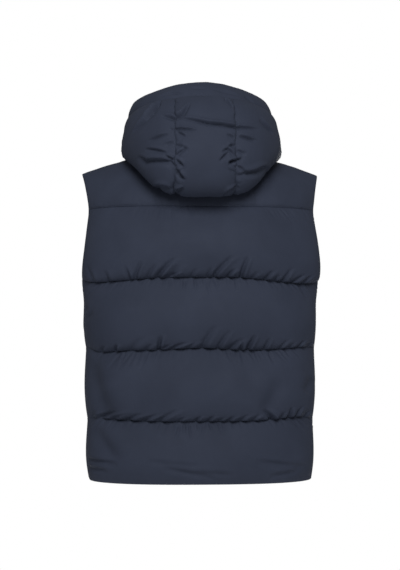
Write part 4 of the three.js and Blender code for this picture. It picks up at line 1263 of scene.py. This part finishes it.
# Outline of one tooth, across from its tape's side to its head and up the zip.
TOOTH = np.array([(3.0, -0.75), (3.0, 0.75), (1.6, 0.75), (0.9, 0.42), (0.5, 0.66), (-0.6, 0.66),
                  (-0.95, 0.3), (-0.95, -0.3), (-0.6, -0.66), (0.5, -0.66), (0.9, -0.42), (1.6, -0.75)])
# A tooth's rings, as their distance out from the fronts' inner face and their size: the last one is
# smaller, so that the face is bevelled.
TOOTH_RINGS = [(2.6, 1.0), (4.55, 1.0), (4.9, 0.8)]


def zip_teeth(edges):
    """Moulded teeth that mesh along the middle, from the box up to the slider."""
    low, high = (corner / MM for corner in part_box("zip_chain"))
    course = np.concatenate(edges) * np.array([0.0, 1.0, 1.0])
    run = distances(course)
    middle = TOOTH.mean(axis=0)
    points, faces = [], []
    for k, at in enumerate(np.arange(0, run[-1], TOOTH_PITCH / 2)):
        centre, ahead = at_distance(course, run, at), at_distance(course, run, at + 1)
        if not low.z + 1 < centre[2] < high.z - 1:
            continue
        up = unit(ahead - centre)
        out = np.array([0, -up[2], up[1]])
        across = np.array([1.0 if k % 2 else -1.0, 0, 0])
        faces += loft_faces(len(TOOTH), len(TOOTH_RINGS), len(points) * len(TOOTH), k % 2 == 1)
        for depth, size in TOOTH_RINGS:
            flat = middle + (TOOTH - middle) * size
            points.append(centre + out * depth + flat[:, :1] * across + flat[:, 1:] * up)
    piece = small_piece("zip_teeth", np.concatenate(points), faces, TEETH)
    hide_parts("zip_chain")


# Outline of a tape's stiffened end beside the box, across from the middle and up, its back and front
TAPE_END = [(4.0, -671.0), (4.0, -682.4), (6.7, -682.4), (7.7, -681.4), (7.7, -671.0)]
TAPE_END_Y = (-129.8, -131.2)


def tape_ends():
    """The two ends of the tapes that reach the hem, one on either side of the box."""
    points, faces = [], []
    for side in (1, -1):
        faces += loft_faces(len(TAPE_END), len(TAPE_END_Y), len(points), side > 0)
        points += [(side * x, y, z) for y in TAPE_END_Y for x, z in TAPE_END]
    small_piece("zip_tape_ends", points, faces, TAPE)


def dress_node(node, material):
    """Gives a node of the frame its finish."""
    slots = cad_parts[node].data.materials
    slots.clear()
    slots.append(material)


# The pieces

SEED = {"back": 11, "front_left": 23, "front_right": 31,
        "back_yoke": 41, "front_yoke_left": 43, "front_yoke_right": 47,
        "hood_centre": 53, "hood_side_left": 59, "hood_side_right": 61, "brim": 67}
SIDES = ((1, "left"), (-1, "right"))

# Open edges, as the way across a panel, whether at its end, and the height that it is open from
ALL_ALONG, ARMHOLE_FOOT = -1e4, LEVEL["chest"] - 2.0
HEM_EDGE, BRIM_EDGE = (1, False, ALL_ALONG), (1, True, ALL_ALONG)
ARMHOLE_EDGES = ((0, False, ARMHOLE_FOOT), (0, True, ARMHOLE_FOOT))

# Rows and columns of the finer grids that are sewn beside a seam
QUILT_ROWS = [2 * ROWS_IN_BAFFLE * k - 1 for k in range(1, BAFFLES)]
SEAM_ROWS, CENTRE_COLUMNS, BRIM_ROWS, OPEN_ROWS = (2,), (2, -3), (2, -4), slice(40, None)

inner, outer = body_panel("back", SEED["back"], BACK_FOLDS, BACK_GROOVES)
cloth_piece("back_skin", outer, inner, "back_panel", BODY_INNER, (HEM_EDGE, *ARMHOLE_EDGES))
back_seams, front_seams = rows_to_sew(outer, inner, QUILT_ROWS), []
for side, name in SIDES:
    front_inner, front_outer = body_panel("front", SEED[f"front_{name}"], FRONT_FOLDS, None)
    outer, inner = on_side(side, front_outer, front_inner)
    cloth_piece(f"front_{name}_skin", outer, inner, f"front_{name}", BODY_INNER,
                (HEM_EDGE, ARMHOLE_EDGES[1]))
    front_seams += rows_to_sew(outer, inner, QUILT_ROWS)
sew("quilting_back", back_seams)
sew("quilting_fronts", front_seams)

inner, outer = yoke_panel("back", SEED["back_yoke"])
cloth_piece("back_yoke_skin", outer, inner, "back_yoke", edges=ARMHOLE_EDGES)
yoke_seams = rows_to_sew(outer, inner, SEAM_ROWS)
for side, name in SIDES:
    yoke_inner, yoke_outer = yoke_panel("front", SEED[f"front_yoke_{name}"])
    outer, inner = on_side(side, yoke_outer, yoke_inner)
    cloth_piece(f"front_yoke_{name}_skin", outer, inner, f"front_yoke_{name}",
                edges=ARMHOLE_EDGES[1:])
    yoke_seams += rows_to_sew(outer, inner, SEAM_ROWS)
sew("yoke_stitching", yoke_seams)

centre_columns = np.linspace(-HOOD_SEAM_COLUMN, HOOD_SEAM_COLUMN, CENTRE_STEPS)
side_columns = np.concatenate([np.linspace(HOOD_SEAM_COLUMN, SIDE_BREAK, SIDE_STEPS),
                               np.linspace(SIDE_BREAK, 2 * NECK_COLUMNS, FRONT_STEPS)[1:]])
inner, outer = hood_panel(centre_columns, -1, SEED["hood_centre"])
cloth_piece("hood_centre_skin", outer, inner, "hood_centre")
hood_seams = columns_to_sew(outer, inner, CENTRE_COLUMNS, OPEN_ROWS)
for side, name in SIDES:
    side_inner, side_outer = hood_panel(side_columns, 1, SEED[f"hood_side_{name}"], side > 0)
    outer, inner = on_side(side, side_outer, side_inner)
    cloth_piece(f"hood_side_{name}_skin", outer, inner, f"hood_side_{name}")
inner, outer = brim_panel(SEED["brim"])
cloth_piece("hood_brim_skin", outer, inner, "hood_brim", edges=(BRIM_EDGE,))
hood_seams += rows_to_sew(outer, inner, BRIM_ROWS)
sew("hood_stitching", hood_seams)

zip_teeth([front_inner[0], yoke_inner[0], side_inner[-1], inner[-1]])
tape_ends()
for node in ("zip_tape_left", "zip_tape_right"):
    dress_node(node, TAPE)
dress_node("zip_box", TEETH)
for node in ("zip_slider", "zip_pull"):
    dress_node(node, SLIDER)


# Camera, light and floor

AIM, WHITE = (0, 0, -0.35), (1, 1, 1, 1)
# Each lamp's place, size and power.
LAMPS = {
    "key_behind": ((0.05, 2.5, 1.15), 1.4, 66.0),
    "key_front": ((-0.5, -2.6, -0.1), 1.3, 84.0),
    "side_fill_1": ((2.6, -0.9, 0.3), 1.0, 5.0),
    "side_fill_-1": ((-2.6, -0.9, 0.3), 1.0, 5.0),
}
LIGHT_AROUND = 0.26
FLOOR = {"radius": 2.8, "height": -1.45, "points": 96, "shade": 0.8, "roughness": 0.9, "glow": 0.1}
CAMERA = {"azimuth": 177.0, "distance": 2.5, "height": -0.405,
          "lens": 75.19, "sensor": 36.0, "shift_y": 0.105}


def add_camera():
    data = bpy.data.cameras.new("camera")
    data.lens, data.sensor_width, data.sensor_fit = CAMERA["lens"], CAMERA["sensor"], "AUTO"
    data.shift_y = CAMERA["shift_y"]
    camera = bpy.data.objects.new("camera", data)
    turn = math.radians(CAMERA["azimuth"])
    place = Vector((math.sin(turn), -math.cos(turn), 0)) * CAMERA["distance"]
    camera.location = place + Vector((0, 0, CAMERA["height"]))
    camera.rotation_euler = (-place).to_track_quat("-Z", "Y").to_euler()
    bpy.context.scene.collection.objects.link(camera)
    bpy.context.scene.camera = camera


def add_lamp(name, place, size, power):
    data = bpy.data.lights.new(name, "AREA")
    data.shape, data.size, data.energy = "DISK", size, power
    light = bpy.data.objects.new(name, data)
    light.location = place
    light.visible_camera = False
    light.rotation_euler = (Vector(AIM) - Vector(place)).to_track_quat("-Z", "Y").to_euler()
    bpy.context.scene.collection.objects.link(light)


def add_floor():
    mesh = bpy.data.meshes.new("floor")
    turn, radius = np.linspace(0, 2 * math.pi, FLOOR["points"], endpoint=False), FLOOR["radius"]
    ring = [(radius * math.cos(t), radius * math.sin(t), FLOOR["height"]) for t in turn]
    mesh.from_pydata(ring, [], [tuple(range(len(ring)))])
    floor = bpy.data.objects.new("floor", mesh)
    bpy.context.scene.collection.objects.link(floor)
    material = bpy.data.materials.new("floor_paint")
    material.use_nodes = True
    shader = material.node_tree.nodes["Principled BSDF"]
    shader.inputs["Base Color"].default_value = shaded(WHITE[:3], FLOOR["shade"])
    shader.inputs["Roughness"].default_value = FLOOR["roughness"]
    shader.inputs["Emission Color"].default_value = WHITE
    shader.inputs["Emission Strength"].default_value = FLOOR["glow"]
    mesh.materials.append(material)


def add_world():
    """White all round where it is seen, and dimmer as a light, so that the lamps shape the cloth."""
    world = bpy.data.worlds.new("studio")
    world.use_nodes = True
    nodes, links = world.node_tree.nodes, world.node_tree.links
    lit = nodes["Background"]
    lit.inputs["Color"].default_value = WHITE
    lit.inputs["Strength"].default_value = LIGHT_AROUND
    seen = nodes.new("ShaderNodeBackground")
    seen.inputs["Color"].default_value = WHITE
    path, blend = nodes.new("ShaderNodeLightPath"), nodes.new("ShaderNodeMixShader")
    links.new(path.outputs["Is Camera Ray"], blend.inputs[0])
    links.new(lit.outputs[0], blend.inputs[1])
    links.new(seen.outputs[0], blend.inputs[2])
    links.new(blend.outputs[0], nodes["World Output"].inputs["Surface"])
    bpy.context.scene.world = world
    bpy.context.scene.view_settings.view_transform = "Standard"


add_camera()
for name, settings in LAMPS.items():
    add_lamp(name, *settings)
add_floor()
add_world()
